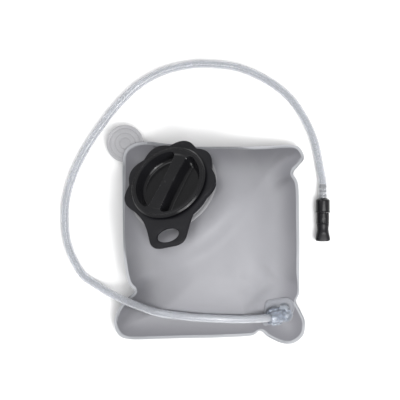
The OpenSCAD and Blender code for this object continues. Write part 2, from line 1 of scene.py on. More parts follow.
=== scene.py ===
"""Hydration bladder: the looks of an inflated welded bag with its filling port, hose and bite valve.

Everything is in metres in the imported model's frame. Each sub-assembly is a class that builds its
meshes, gives them a finish and fastens them to the body that they move with.
"""
import json
import logging
import math
from collections.abc import Callable, Sequence
from dataclasses import dataclass
from enum import Enum

import bmesh
import bpy
import numpy as np
from mathutils import Matrix, Vector


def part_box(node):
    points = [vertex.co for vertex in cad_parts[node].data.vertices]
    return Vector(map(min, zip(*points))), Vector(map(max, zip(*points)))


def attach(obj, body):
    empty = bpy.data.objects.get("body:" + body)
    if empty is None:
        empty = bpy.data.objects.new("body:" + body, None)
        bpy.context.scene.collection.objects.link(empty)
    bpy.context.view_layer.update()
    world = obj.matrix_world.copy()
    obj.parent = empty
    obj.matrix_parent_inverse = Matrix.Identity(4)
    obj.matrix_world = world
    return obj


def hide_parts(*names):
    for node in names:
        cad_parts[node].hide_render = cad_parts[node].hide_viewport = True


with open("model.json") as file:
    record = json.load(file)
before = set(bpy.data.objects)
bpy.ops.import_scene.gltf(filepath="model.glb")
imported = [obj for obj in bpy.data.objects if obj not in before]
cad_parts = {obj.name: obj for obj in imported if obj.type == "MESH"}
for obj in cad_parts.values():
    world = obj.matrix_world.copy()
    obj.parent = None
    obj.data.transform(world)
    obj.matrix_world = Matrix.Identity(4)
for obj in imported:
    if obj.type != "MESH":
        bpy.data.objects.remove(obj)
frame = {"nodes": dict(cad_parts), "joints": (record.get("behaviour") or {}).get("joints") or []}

LOG = logging.getLogger("hydration_bladder")
MM = 0.001
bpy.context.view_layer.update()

Pair = tuple[float, float]
Triple = tuple[float, float, float]
Profile = list[Pair]
Shape = Callable[[np.ndarray, np.ndarray, np.ndarray], np.ndarray]
Socket = bpy.types.NodeSocket
Material = bpy.types.Material
Piece = bpy.types.Object


class Body(Enum):
    """The rigid bodies that pieces move with."""

    BAG = "bladder"
    GASKET = "gasket"
    CAP = "screw_cap"
    VALVE = "twist_valve"


# ---- finishes ---------------------------------------------------------------------------------


class NodeTree:
    """A node tree with short calls to add nodes and to feed their inputs."""

    tree: bpy.types.NodeTree

    def add(self, kind: str, **settings: object) -> bpy.types.Node:
        """Adds a node and sets its properties.

        Args:
            kind: the node's type name.
            settings: properties of the node by name.

        Returns:
            The new node.
        """
        node = self.tree.nodes.new(kind)
        for key, value in settings.items():
            setattr(node, key, value)
        return node

    def feed(self, socket: Socket, value: object) -> None:
        """Gives an input a value, an opaque colour or another node's output.

        Args:
            socket: the input.
            value: what it is given.
        """
        if isinstance(value, Socket):
            self.tree.links.new(value, socket)
        else:
            socket.default_value = (*value, 1.0) if socket.type == "RGBA" else value


class NodeBoard(NodeTree):
    """A material's node tree with short calls for the nodes used here."""

    def __init__(self, name: str) -> None:
        """Starts an empty material.

        Args:
            name: the material's name.
        """
        self.material = bpy.data.materials.new(name)
        self.material.use_nodes = True
        self.tree = self.material.node_tree
        self.tree.nodes.clear()
        self.shader = self.add("ShaderNodeBsdfPrincipled")
        output = self.add("ShaderNodeOutputMaterial")
        self.feed(output.inputs["Surface"], self.shader.outputs["BSDF"])
        self.place = self.add("ShaderNodeTexCoord").outputs["Object"]

    def noise(self, scale: float, detail: float = 3.0, stretch: Sequence[float] = (1, 1, 1)) -> Socket:
        """Adds a noise pattern fixed to the object.

        Args:
            scale: features per metre.
            detail: number of finer octaves.
            stretch: scale along each axis.

        Returns:
            The pattern's value socket.
        """
        mapping = self.add("ShaderNodeMapping")
        self.feed(mapping.inputs["Scale"], stretch)
        self.feed(mapping.inputs["Vector"], self.place)
        noise = self.add("ShaderNodeTexNoise")
        self.feed(noise.inputs["Scale"], scale)
        self.feed(noise.inputs["Detail"], detail)
        self.feed(noise.inputs["Vector"], mapping.outputs["Vector"])
        return noise.outputs["Fac"]

    def ramp(self, value: Socket, low: float, high: float) -> Socket:
        """Maps a 0 to 1 pattern onto the range from low to high.

        Args:
            value: the pattern.
            low: the result where it is 0.
            high: the result where it is 1.

        Returns:
            The mapped value socket.
        """
        node = self.add("ShaderNodeMapRange")
        self.feed(node.inputs["To Min"], low)
        self.feed(node.inputs["To Max"], high)
        self.feed(node.inputs["Value"], value)
        return node.outputs["Result"]

    def blend(self, factor: Socket, first: object, second: object) -> Socket:
        """Mixes two colours, each a colour or a socket, by a factor socket.

        Args:
            factor: share of the second colour.
            first: a colour or a socket.
            second: a colour or a socket.

        Returns:
            The mixed colour socket.
        """
        mix = self.add("ShaderNodeMix", data_type="RGBA")
        self.feed(mix.inputs[0], factor)
        self.feed(mix.inputs[6], first)
        self.feed(mix.inputs[7], second)
        return mix.outputs[2]

    def bump(self, height: Socket, strength: float, distance: float,
             under: Socket | None = None) -> Socket:
        """Adds a bump from a height pattern.

        Args:
            height: the height socket.
            strength: 0 to 1.
            distance: metres that the pattern stands up.
            under: a normal that this bump adds to.

        Returns:
            The normal socket.
        """
        node = self.add("ShaderNodeBump")
        self.feed(node.inputs["Strength"], strength)
        self.feed(node.inputs["Distance"], distance)
        self.feed(node.inputs["Height"], height)
        if under is not None:
            self.feed(node.inputs["Normal"], under)
        return node.outputs["Normal"]

    def attribute(self, name: str) -> Socket:
        """Reads a value that is stored on the mesh's points."""
        return self.add("ShaderNodeAttribute", attribute_name=name).outputs["Fac"]

    def set(self, **values: object) -> None:
        """Sets the shader's sockets, with underscores for the spaces in their names."""
        for key, value in values.items():
            self.feed(self.shader.inputs[key.replace("_", " ")], value)


@dataclass(frozen=True)
class FilmFinish:
    """Satin, slightly cloudy welded film, with painted shade near the rim where it turns down, and clearer on
    the weld.
    """

    name: str = "satin_film"
    middle: Triple = (0.345, 0.345, 0.37)
    # side: colour of the painted shade near the rim, where the film turns down
    side: Triple = (0.18, 0.18, 0.20)
    weld: Triple = (0.43, 0.44, 0.465)
    roughness: Pair = (0.50, 0.60)
    transmission: float = 0.18
    index: float = 1.46

    def build(self) -> Material:
        """Builds the material.

        Returns:
            The material.
        """
        board = NodeBoard(self.name)
        cloudy = board.noise(26, 4)
        speck = board.noise(420, 2)
        # painted shade: the side attribute darkens the film towards the rim, where it turns down
        body = board.blend(board.attribute("side"), self.middle, self.side)
        mottled = board.blend(board.ramp(cloudy, -0.10, 0.22), body, self.side)
        colour = board.blend(board.attribute("weld"), mottled, self.weld)
        fine = board.bump(speck, 0.10, 0.0002)
        ripple = board.bump(board.noise(70, 2), 0.16, 0.0012, fine)
        board.set(Base_Color=colour, Roughness=board.ramp(cloudy, *self.roughness), Normal=ripple,
                  Transmission_Weight=self.transmission, IOR=self.index)
        return board.material


@dataclass(frozen=True)
class ClearFinish:
    """Clear flexible plastic with a faint tint and small flow marks."""

    name: str
    tint: Triple
    roughness: Pair
    transmission: float
    flow: float = 0.0
    index: float = 1.49

    def build(self) -> Material:
        """Builds the material.

        Returns:
            The material.
        """
        board = NodeBoard(self.name)
        streak = board.noise(160, 2, (1, 1, 0.5))
        darker = tuple(0.93 * part for part in self.tint)
        board.set(Base_Color=board.blend(streak, self.tint, darker),
                  Roughness=board.ramp(board.noise(90, 3), *self.roughness),
                  Normal=board.bump(streak, self.flow, 0.0003), Transmission_Weight=self.transmission,
                  IOR=self.index)
        return board.material


@dataclass(frozen=True)
class MouldedFinish:
    """Black moulded plastic with a fine spark-eroded grain and slightly worn, paler high spots."""

    name: str
    colour: Triple = (0.006, 0.006, 0.007)
    worn: Triple = (0.012, 0.012, 0.014)
    roughness: Pair = (0.20, 0.28)
    grain: float = 0.10
    shine: float = 0.26

    def build(self) -> Material:
        """Builds the material.

        Returns:
            The material.
        """
        board = NodeBoard(self.name)
        grain = board.noise(2600, 2)
        wear = board.noise(45, 4)
        board.set(Base_Color=board.blend(board.ramp(wear, -0.2, 0.9), self.colour, self.worn),
                  Roughness=board.ramp(wear, *self.roughness),
                  Normal=board.bump(grain, self.grain, 0.00012), Specular_IOR_Level=self.shine)
        return board.material


@dataclass(frozen=True)
class FrostedFinish:
    """Frosted translucent plastic of the hanging disc."""

    name: str = "frosted_plastic"
    pale: Triple = (0.54, 0.54, 0.56)
    deep: Triple = (0.42, 0.42, 0.44)
    roughness: Pair = (0.35, 0.5)
    transmission: float = 0.35
    index: float = 1.45

    def build(self) -> Material:
        """Builds the material.

        Returns:
            The material.
        """
        board = NodeBoard(self.name)
        cloud = board.noise(60, 3)
        board.set(Base_Color=board.blend(cloud, self.pale, self.deep),
                  Roughness=board.ramp(cloud, *self.roughness),
                  Normal=board.bump(board.noise(900, 2), 0.08, 0.0002),
                  Transmission_Weight=self.transmission, IOR=self.index)
        return board.material


class Finishes:
    """The finishes of the object, built once each."""

    def __init__(self) -> None:
        """Builds every material."""
        self.film = FilmFinish().build()
        self.hose = ClearFinish("clear_hose", (0.82, 0.84, 0.88), (0.15, 0.20), 0.72).build()
        self.fitting = ClearFinish("clear_fitting", (0.80, 0.85, 0.93), (0.06, 0.12), 0.88, flow=0.02).build()
        self.patch = ClearFinish("clear_patch", (0.40, 0.41, 0.445), (0.28, 0.36), 0.35).build()
        self.neck = ClearFinish("clear_neck", (0.38, 0.38, 0.395), (0.32, 0.42), 0.25).build()
        self.disc = FrostedFinish().build()
        self.cap = MouldedFinish("black_cap_plastic", roughness=(0.15, 0.21), shine=0.32).build()
        self.collar = MouldedFinish("black_collar_plastic", (0.008, 0.008, 0.010), (0.013, 0.013, 0.016),
                                    (0.34, 0.44), grain=0.2, shine=0.2).build()
        self.valve = MouldedFinish("black_valve_plastic", roughness=(0.2, 0.3), shine=0.35).build()
        self.silicone = MouldedFinish("black_silicone", (0.010, 0.010, 0.012), roughness=(0.3, 0.42),
                                      grain=0.08).build()
        self.seal = MouldedFinish("seal_rubber", (0.02, 0.02, 0.022), roughness=(0.5, 0.6)).build()
        self.core = MouldedFinish("white_core_plastic", (0.62, 0.63, 0.64), (0.7, 0.7, 0.7)).build()


# ---- mesh making ------------------------------------------------------------------------------


def smoothstep(value: np.ndarray | float) -> np.ndarray:
    """Eases a value from 0 to 1, with flat ends."""
    clipped = np.clip(value, 0.0, 1.0)
    return clipped * clipped * (3.0 - 2.0 * clipped)


def spline_through(points: np.ndarray, steps: int, closed: bool) -> np.ndarray:
    """Runs one smooth curve through points.

    Args:
        points: the points, one row each.
        steps: pieces between two neighbouring points.
        closed: whether the curve returns to its first point.

    Returns:
        The curve's points, the last given point included where it is open.
    """
    count = len(points)
    spans = count if closed else count - 1
    index = (lambda i: i % count) if closed else (lambda i: min(max(i, 0), count - 1))
    line = []
    for span in range(spans):
        a, b, c, d = (points[index(span + k)] for k in (-1, 0, 1, 2))
        for step in range(steps):
            t = step / steps
            line.append(0.5 * (2 * b + (c - a) * t + (2 * a - 5 * b + 4 * c - d) * t**2
                               + (3 * b - a - 3 * c + d) * t**3))
    if not closed:
        line.append(points[-1])
    return np.array(line)


def rounded(corners: Profile, radius: float, steps: int = 4) -> Profile:
    """Rounds the inner corners of a profile.

    Args:
        corners: the profile's corners.
        radius: the distance from a corner at which its curve starts.
        steps: pieces in each curve.

    Returns:
        The rounded profile.
    """
    result = [corners[0]]
    for before, corner, after in zip(corners, corners[1:], corners[2:]):
        here = Vector(corner)
        back, ahead = Vector(before) - here, Vector(after) - here
        start = here + back * min(radius / max(back.length, 1e-9), 0.45)
        end = here + ahead * min(radius / max(ahead.length, 1e-9), 0.45)
        for step in range(steps + 1):
            t = step / steps
            point = start * (1 - t) ** 2 + here * 2 * t * (1 - t) + end * t**2
            result.append((point.x, point.y))
    result.append(corners[-1])
    return result


def ring_profile(inside: float, outside: float, low: float, high: float, radius: float) -> Profile:
    """Profile of a plain ring with rounded corners.

    Args:
        inside: its inner radius.
        outside: its outer radius.
        low: height of its lower face.
        high: height of its upper face.
        radius: the distance from a corner at which its curve starts.

    Returns:
        The closed profile.
    """
    return rounded([(inside, low), (outside, low), (outside, high), (inside, high), (inside, low)], radius)


def make_piece(name: str, points: np.ndarray, faces: list[tuple[int, ...]], material: Material,
               sharp_angle: float = 38.0) -> Piece:
    """Makes a smooth-shaded object whose faces point outwards.

    Args:
        name: the object's name.
        points: its points in metres.
        faces: its faces as tuples of point numbers.
        material: its finish.
        sharp_angle: degrees above which an edge is drawn sharp.

    Returns:
        The new object, at the origin.
    """
    mesh = bpy.data.meshes.new(name)
    mesh.from_pydata([tuple(p) for p in points], [], faces)
    weld(mesh, 1e-7)
    return show_mesh(name, mesh, material, sharp_angle)


def weld(mesh: bpy.types.Mesh, gap: float) -> None:
    """Joins the points nearer than a gap in metres and turns the faces outwards.

    Args:
        mesh: the mesh to change.
        gap: distance in metres.
    """
    shell = bmesh.new()
    shell.from_mesh(mesh)
    bmesh.ops.remove_doubles(shell, verts=shell.verts, dist=gap)
    bmesh.ops.recalc_face_normals(shell, faces=shell.faces)
    shell.to_mesh(mesh)
    shell.free()


def evaluated_mesh(maker: Piece) -> bpy.types.Mesh:
    """Evaluates an object that is only there to make a mesh, and removes it.

    Args:
        maker: the object, not yet in the scene.

    Returns:
        The mesh.
    """
    bpy.context.scene.collection.objects.link(maker)
    mesh = bpy.data.meshes.new_from_object(maker.evaluated_get(bpy.context.evaluated_depsgraph_get()))
    bpy.data.objects.remove(maker)
    return mesh


def show_mesh(name: str, mesh: bpy.types.Mesh, material: Material, sharp_angle: float) -> Piece:
    """Puts a mesh in the scene with its finish and its shading.

    Args:
        name: the object's name.
        mesh: its mesh.
        material: its finish.
        sharp_angle: degrees above which an edge is drawn sharp.

    Returns:
        The new object.
    """
    mesh.materials.clear()
    mesh.materials.append(material)
    mesh.shade_smooth()
    mesh.set_sharp_from_angle(angle=math.radians(sharp_angle))
    piece = bpy.data.objects.new(name, mesh)
    bpy.context.scene.collection.objects.link(piece)
    return piece


def ring_faces(count: int, rings: int, loop: bool = False) -> list[tuple[int, ...]]:
    """Faces between neighbouring rings of points.

    Args:
        count: points in each ring.
        rings: number of rings.
        loop: whether the last ring joins the first.

    Returns:
        The four-sided faces.
    """
    faces = []
    for ring in range(rings if loop else rings - 1):
        a, b = ring * count, (ring + 1) % rings * count
        faces += [(a + i, a + (i + 1) % count, b + (i + 1) % count, b + i) for i in range(count)]
    return faces


def lathe(name: str, profile: Profile, seat: Matrix, material: Material, steps: int = 96,
          shape: Shape | None = None) -> Piece:
    """Turns a profile about a seat's axis.

    Args:
        name: the piece's name.
        profile: (radius, height) in millimetres; an open one starts and ends on the axis.
        seat: the frame whose z is the axis.
        material: its finish.
        steps: pieces in one turn.
        shape: changes the radius for (radius, height, angle) arrays.

    Returns:
        The turned piece.
    """
    radius, height = (np.array([p[k] for p in profile]) for k in (0, 1))
    angle = np.linspace(0, 2 * math.pi, steps, endpoint=False)
    r, z, a = np.broadcast_arrays(radius[:, None], height[:, None], angle)
    if shape is not None:
        r = np.where(r > 0, shape(r, z, a), r)
    local = np.stack([r * np.cos(a), r * np.sin(a), z], axis=-1).reshape(-1, 3) * MM
    return make_piece(name, transform(local, seat), ring_faces(steps, len(profile)), material)


def transform(points: np.ndarray, seat: Matrix) -> np.ndarray:
    """Moves points from a seat's frame to the model's frame."""
    matrix = np.array(seat)
    return points @ matrix[:3, :3].T + matrix[:3, 3]


def plate(name: str, outlines: Sequence[np.ndarray], low: float, high: float, edge: float, seat: Matrix,
          material: Material) -> Piece:
    """Makes a flat plate with rounded edges from outlines, where an outline inside another is a hole.

    Args:
        name: the plate's name.
        outlines: closed outlines in millimetres.
        low: height of its lower face.
        high: height of its upper face.
        edge: radius of its edges.
        seat: the frame it lies in.
        material: its finish.

    Returns:
        The plate.
    """
    curve = bpy.data.curves.new(name, "CURVE")
    curve.dimensions = "2D"
    curve.fill_mode = "BOTH"
    curve.extrude = (high - low) / 2 * MM - edge * MM
    curve.bevel_depth = edge * MM
    curve.offset = -edge * MM
    curve.bevel_resolution = 3
    for outline in outlines:
        line = curve.splines.new("POLY")
        line.points.add(len(outline) - 1)
        flat = np.zeros((len(outline), 1))
        line.points.foreach_set("co", np.column_stack([outline * MM, flat, flat + 1]).ravel())
        line.use_cyclic_u = True
    mesh = evaluated_mesh(bpy.data.objects.new(name + "_outline", curve))
    bpy.data.curves.remove(curve)
    mesh.transform(seat @ Matrix.Translation((0, 0, (low + high) / 2 * MM)))
    weld(mesh, 1e-6)
    return show_mesh(name, mesh, material, 30)


def dress(node: str, material: Material) -> Piece:
    """Gives one of the frame's own pieces a finish.

    Args:
        node: the piece's name in the frame.
        material: its finish.

    Returns:
        The piece.
    """
    piece = frame["nodes"][node]
    piece.data.materials.clear()
    piece.data.materials.append(material)
    return piece


def fasten(piece: Piece, body: Body, slot: str, *nodes: str) -> Piece:
    """Makes a piece ride on a body and hides the CAD nodes it stands for.

    Args:
        piece: the piece.
        body: the body it moves with.
        slot: its material slot's name; not used.
        nodes: the solids it stands for.

    Returns:
        The piece.
    """
    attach(piece, body.value)
    if nodes:
        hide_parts(*nodes)
    LOG.info("%s: %d faces on %s", piece.name, len(piece.data.polygons), body.value)
    return piece


# ---- repeated features ------------------------------------------------------------------------


class Pattern(NodeTree):
    """A geometry node tree with named inputs, run once on an empty mesh to give a plain piece."""

    def __init__(self, name: str, sizes: dict[str, float | int]) -> None:
        """Starts the tree.

        Args:
            name: the tree's name.
            sizes: the named inputs and their values; whole numbers are counts.
        """
        self.name = name
        self.sizes = sizes
        self.tree = bpy.data.node_groups.new(name, "GeometryNodeTree")
        self.sockets: dict[str, str] = {}
        self.tree.interface.new_socket("Geometry", in_out="INPUT", socket_type="NodeSocketGeometry")
        for size, value in sizes.items():
            kind = "NodeSocketInt" if isinstance(value, int) else "NodeSocketFloat"
            socket = self.tree.interface.new_socket(size, in_out="INPUT", socket_type=kind)
            self.sockets[size] = socket.identifier
        socket = self.tree.interface.new_socket("Finish", in_out="INPUT", socket_type="NodeSocketMaterial")
        self.sockets["Finish"] = socket.identifier
        self.tree.interface.new_socket("Geometry", in_out="OUTPUT", socket_type="NodeSocketGeometry")
        self.given = self.tree.nodes.new("NodeGroupInput")

    def node(self, kind: str, inputs: dict[str, object] | None = None, **settings: object) -> Socket:
        """Adds a node.

        Args:
            kind: the node's type name.
            inputs: values or sockets for its inputs by name.
            settings: properties of the node by name.

        Returns:
            The new node's first output.
        """
        node = self.add(kind, **settings)
        for key, value in (inputs or {}).items():
            self.feed(next(s for s in node.inputs if s.name == key and s.enabled), value)
        return node.outputs[0]

    def math(self, operation: str, first: object, second: object) -> Socket:
        """Adds an arithmetic step on two values, each a number or a socket.

        Args:
            operation: the step's name.
            first: the first value.
            second: the second value.

        Returns:
            The result's socket.
        """
        node = self.add("ShaderNodeMath", operation=operation)
        for socket, value in zip(node.inputs, (first, second)):
            self.feed(socket, value)
        return node.outputs[0]

    def triple(self, x: object = 0.0, y: object = 0.0, z: object = 0.0) -> Socket:
        """Joins three values to a vector."""
        return self.node("ShaderNodeCombineXYZ", {"X": x, "Y": y, "Z": z})

    def size(self, name: str) -> Socket:
        """Gives a named input's socket."""
        return self.given.outputs[name]

    def finish(self, geometry: Socket, seat: Matrix, material: Material) -> Piece:
        """Ends the tree, runs it and returns the plain piece.

        Args:
            geometry: the geometry to give out.
            seat: the frame that the pattern lies in.
            material: its finish.

        Returns:
            The piece.
        """
        real = self.node("GeometryNodeRealizeInstances", {"Geometry": geometry})
        dressed = self.node("GeometryNodeSetMaterial", {"Geometry": real, "Material": self.size("Finish")})
        output = self.tree.nodes.new("NodeGroupOutput")
        self.tree.links.new(dressed, output.inputs[0])
        maker = bpy.data.objects.new(self.name + "_maker", bpy.data.meshes.new(self.name))
        modifier = maker.modifiers.new(self.name, "NODES")
        modifier.node_group = self.tree
        for size, value in {**self.sizes, "Finish": material}.items():
            modifier[self.sockets[size]] = value
        mesh = evaluated_mesh(maker)
        mesh.transform(seat)
        return show_mesh(self.name, mesh, material, 40)


def thread_ridges(name: str, root: float, crest: float, start: float, run: float, lead: float, starts: int,
                  seat: Matrix, material: Material) -> Piece:
    """Makes the ridges of a screw thread.

    Args:
        name: the piece's name.
        root: radius at the ridge's foot, in millimetres like every size here.
        crest: radius at its crest.
        start: height where the ridge starts.
        run: height that it climbs.
        lead: advance in one turn.
        starts: number of ridges.
        seat: the frame whose z is the axis.
        material: its finish.

    Returns:
        The ridges as one piece.
    """
    sizes = {"Radius": (root + crest) / 2 * MM, "Depth": abs(crest - root) * MM, "Turns": run / lead,
             "Climb": run * MM, "Start": start * MM, "Starts": starts}
    pattern = Pattern(name, sizes)
    size = pattern.size
    spiral = pattern.node("GeometryNodeCurveSpiral", {
        "Resolution": 72, "Rotations": size("Turns"), "Start Radius": size("Radius"),
        "End Radius": size("Radius"), "Height": size("Climb"), "Reverse": True})
    upright = pattern.node("GeometryNodeSetCurveNormal", {"Curve": spiral}, mode="Z_UP")
    section = pattern.node("GeometryNodeCurvePrimitiveCircle", {
        "Resolution": 6, "Radius": pattern.math("MULTIPLY", size("Depth"), 0.62)})
    ridge = pattern.node("GeometryNodeCurveToMesh", {
        "Curve": upright, "Profile Curve": section, "Fill Caps": True})
    lifted = pattern.node("GeometryNodeTransform", {
        "Geometry": ridge, "Translation": pattern.triple(z=size("Start"))})
    spots = pattern.node("GeometryNodeMeshLine", {"Count": size("Starts"), "Offset": (0, 0, 0)})
    turned = pattern.math("MULTIPLY", pattern.node("GeometryNodeInputIndex"), 2 * math.pi)
    turn = pattern.math("DIVIDE", turned, size("Starts"))
    spread = pattern.node("GeometryNodeInstanceOnPoints", {
        "Points": spots, "Instance": lifted, "Rotation": pattern.triple(z=turn)})
    return pattern.finish(spread, seat, material)


def bump_rows(name: str, radius: float, length: float, rows: int, around: int, bump: float,
              seat: Matrix, material: Material) -> Piece:
    """Makes rows of round grip bumps on a cylinder.

    Args:
        name: the piece's name.
        radius: the cylinder's radius in millimetres.
        length: the length that the rows share.
        rows: number of rows.
        around: bumps in each row.
        bump: radius of a bump.
        seat: the frame whose z is the cylinder's axis.
        material: its finish.

    Returns:
        The bumps as one piece.
    """
    sizes = {"Radius": radius * MM, "Step": length / rows * MM, "Rows": rows, "Around": around,
             "Bump": bump * MM}
    pattern = Pattern(name, sizes)
    size = pattern.size
    circle = pattern.node("GeometryNodeMeshCircle", {"Vertices": size("Around"), "Radius": size("Radius")})
    first = pattern.triple(z=pattern.math("MULTIPLY", size("Step"), 0.5))
    line = pattern.node("GeometryNodeMeshLine", {
        "Count": size("Rows"), "Start Location": first, "Offset": pattern.triple(z=size("Step"))})
    rings = pattern.node("GeometryNodeInstanceOnPoints", {"Points": line, "Instance": circle})
    spots = pattern.node("GeometryNodeRealizeInstances", {"Geometry": rings})
    ball = pattern.node("GeometryNodeMeshIcoSphere", {"Radius": size("Bump"), "Subdivisions": 3})
    spread = pattern.node("GeometryNodeInstanceOnPoints", {"Points": spots, "Instance": ball})
    return pattern.finish(spread, seat, material)


def ring_ribs(name: str, inner: float, step: float, count: int, rib: float, height: float,
              seat: Matrix, material: Material) -> Piece:
    """Makes round ribs that share a centre.

    Args:
        name: the piece's name.
        inner: radius of the smallest rib in millimetres.
        step: distance between ribs.
        count: number of ribs.
        rib: radius of a rib's section.
        height: height of the ribs' centres above the seat.
        seat: the frame that they lie in.
        material: its finish.

    Returns:
        The ribs as one piece.
    """
    sizes = {"Inner": inner * MM, "Step": step * MM, "Count": count, "Rib": rib * MM, "Height": height * MM}
    pattern = Pattern(name, sizes)
    size = pattern.size
    spots = pattern.node("GeometryNodeMeshLine", {
        "Count": size("Count"), "Start Location": pattern.triple(z=size("Height")), "Offset": (0, 0, 0)})
    steps = pattern.math("MULTIPLY", pattern.node("GeometryNodeInputIndex"), size("Step"))
    reach = pattern.math("ADD", size("Inner"), steps)
    circle = pattern.node("GeometryNodeCurvePrimitiveCircle", {"Resolution": 96, "Radius": 1.0})
    spread = pattern.node("GeometryNodeInstanceOnPoints", {
        "Points": spots, "Instance": circle, "Scale": pattern.triple(reach, reach, reach)})
    real = pattern.node("GeometryNodeRealizeInstances", {"Geometry": spread})
    section = pattern.node("GeometryNodeCurvePrimitiveCircle", {"Resolution": 10, "Radius": size("Rib")})
    tube = pattern.node("GeometryNodeCurveToMesh", {"Curve": real, "Profile Curve": section})
    return pattern.finish(tube, seat, material)


# ---- seats ------------------------------------------------------------------------------------


def tilted_seat(centre: Sequence[float], tilt: float, lean: float) -> Matrix:
    """A seat whose z leans by tilt degrees towards the compass direction lean.

    Args:
        centre: its origin in metres.
        tilt: degrees from upright.
        lean: degrees from +X.

    Returns:
        The seat's matrix.
    """
    turn = Matrix.Rotation(math.radians(lean), 4, "Z")
    return Matrix.Translation(centre) @ turn @ Matrix.Rotation(math.radians(tilt), 4, "Y") @ turn.inverted()


def joint_seat(name: str) -> Matrix:
    """The tilted seat on a hinge's axis.

    Args:
        name: the joint's name.

    Returns:
        The seat's matrix.
    """
    joint = next(j for j in frame["joints"] if j["name"] == name)
    axis = Vector(joint["axis"]).normalized()
    lean = math.degrees(math.atan2(axis.y, axis.x))
    return tilted_seat(joint["pos_m"], math.degrees(math.acos(axis.z)), lean)


@dataclass(frozen=True)
class Seats:
    """The places that the sub-assemblies are built on."""

    port: Matrix
    outlet: Matrix
    valve: Matrix

    @classmethod
    def from_frame(cls) -> "Seats":
        """Reads the port and the valve from their joints and gives the outlet its own seat.

        Returns:
            The seats.
        """
        valve = next(j for j in frame["joints"] if j["name"] == "valve_twist")
        return cls(port=joint_seat("cap_turn"), outlet=tilted_seat((0.0869375, -0.0864375, 0.040), 34, -45),
                   valve=Matrix.Translation(valve["pos_m"]) @ Matrix.Rotation(math.pi / 2, 4, "X"))


# ---- the hose ---------------------------------------------------------------------------------


@dataclass(frozen=True)
class DrinkingHose:
    """The clear hose, over the bag and round it on the floor."""

    diameter: float = 0.009
    bore: float = 0.0064
    shift: Triple = (0.0054375, -0.0074375, 0.0)
    steps: int = 7
    sides: int = 28

    def route(self) -> np.ndarray:
        """The points of the centre line, in metres in the bag's own frame.

        Returns:
            The points, one row each.
        """
        floor, valve = self.diameter / 2, 0.0088
        return np.array([
            (0.0795, -0.084, 0.052), (0.0665, -0.0852, 0.0575), (0.050, -0.0855, 0.0635),
            (0.033, -0.085, 0.0695), (0.015, -0.084, 0.074), (-0.002, -0.083, 0.0762),
            (-0.018, -0.082, 0.0762), (-0.034, -0.0805, 0.0748), (-0.050, -0.079, 0.0722),
            (-0.064, -0.077, 0.066), (-0.078, -0.074, 0.0535), (-0.094, -0.070, 0.040),
            (-0.110, -0.0645, 0.0265), (-0.124, -0.059, 0.014), (-0.137, -0.052, 0.006),
            (-0.151, -0.0425, floor), (-0.161, -0.027, floor), (-0.168, -0.011, floor),
            (-0.172, 0.005, floor), (-0.1735, 0.026, floor), (-0.1715, 0.051, floor),
            (-0.162, 0.082, floor), (-0.1455, 0.114, floor), (-0.121, 0.149, floor),
            (-0.102, 0.1705, floor), (-0.084, 0.1865, floor), (-0.058, 0.201, floor),
            (-0.030, 0.2085, floor), (-0.004, 0.2105, floor), (0.034, 0.206, floor),
            (0.071, 0.1895, floor), (0.0985, 0.1665, floor), (0.117, 0.137, floor),
            (0.126, 0.113, floor), (0.1305, 0.091, floor), (0.134, 0.071, 0.0065),
            (0.134, 0.060, valve), (0.134, 0.0505, valve)])

    def line(self) -> np.ndarray:
        """The smooth centre line in the model's frame."""
        return spline_through(self.route() + np.array(self.shift), self.steps, closed=False)

    def build(self, finishes: Finishes, with_pieces: Sequence[Piece | str]) -> Piece:
        """Args:
            finishes: the object's finishes.
            with_pieces: the bite valve's pieces on its end; not used.

        Returns:
            The hose.
        """
        line = self.line()
        along = np.gradient(line, axis=0)
        along /= np.linalg.norm(along, axis=1, keepdims=True)
        side = np.cross(along, (0, 0, 1))
        side /= np.linalg.norm(side, axis=1, keepdims=True)
        up = np.cross(side, along)
        angle = np.linspace(0, 2 * math.pi, self.sides, endpoint=False)
        round_section = (side[:, None] * np.cos(angle)[:, None] + up[:, None] * np.sin(angle)[:, None])
        outside = line[:, None] + round_section * self.diameter / 2
        inside = (line[:, None] + round_section * self.bore / 2)[::-1]
        points = np.concatenate([outside.reshape(-1, 3), inside.reshape(-1, 3)])
        hose = make_piece("drinking_hose_tube", points, ring_faces(self.sides, 2 * len(line), loop=True),
                          finishes.hose)
        fasten(hose, Body.BAG, "clear_hose", "drinking_hose")
        return hose


# ---- the bag ----------------------------------------------------------------------------------


@dataclass(frozen=True)
class Crease:
    """A soft fold pressed into the film along a line, in millimetres in the bag's own frame."""

    start: Pair
    end: Pair
    width: float
    depth: float

    def dip(self, at: np.ndarray) -> np.ndarray:
        """How far the fold lowers the film at each point.

        Args:
            at: points, one row each.

        Returns:
            The dips in millimetres.
        """
        a, b = np.array(self.start), np.array(self.end)
        run = b - a
        t = np.clip((at - a) @ run / (run @ run), 0, 1)
        away = np.linalg.norm(at - (a + t[..., None] * run), axis=-1)
        fade = np.sin(math.pi * np.clip(0.08 + 0.84 * t, 0, 1)) ** 0.7
        return self.depth * fade * np.exp(-((away / self.width) ** 2))


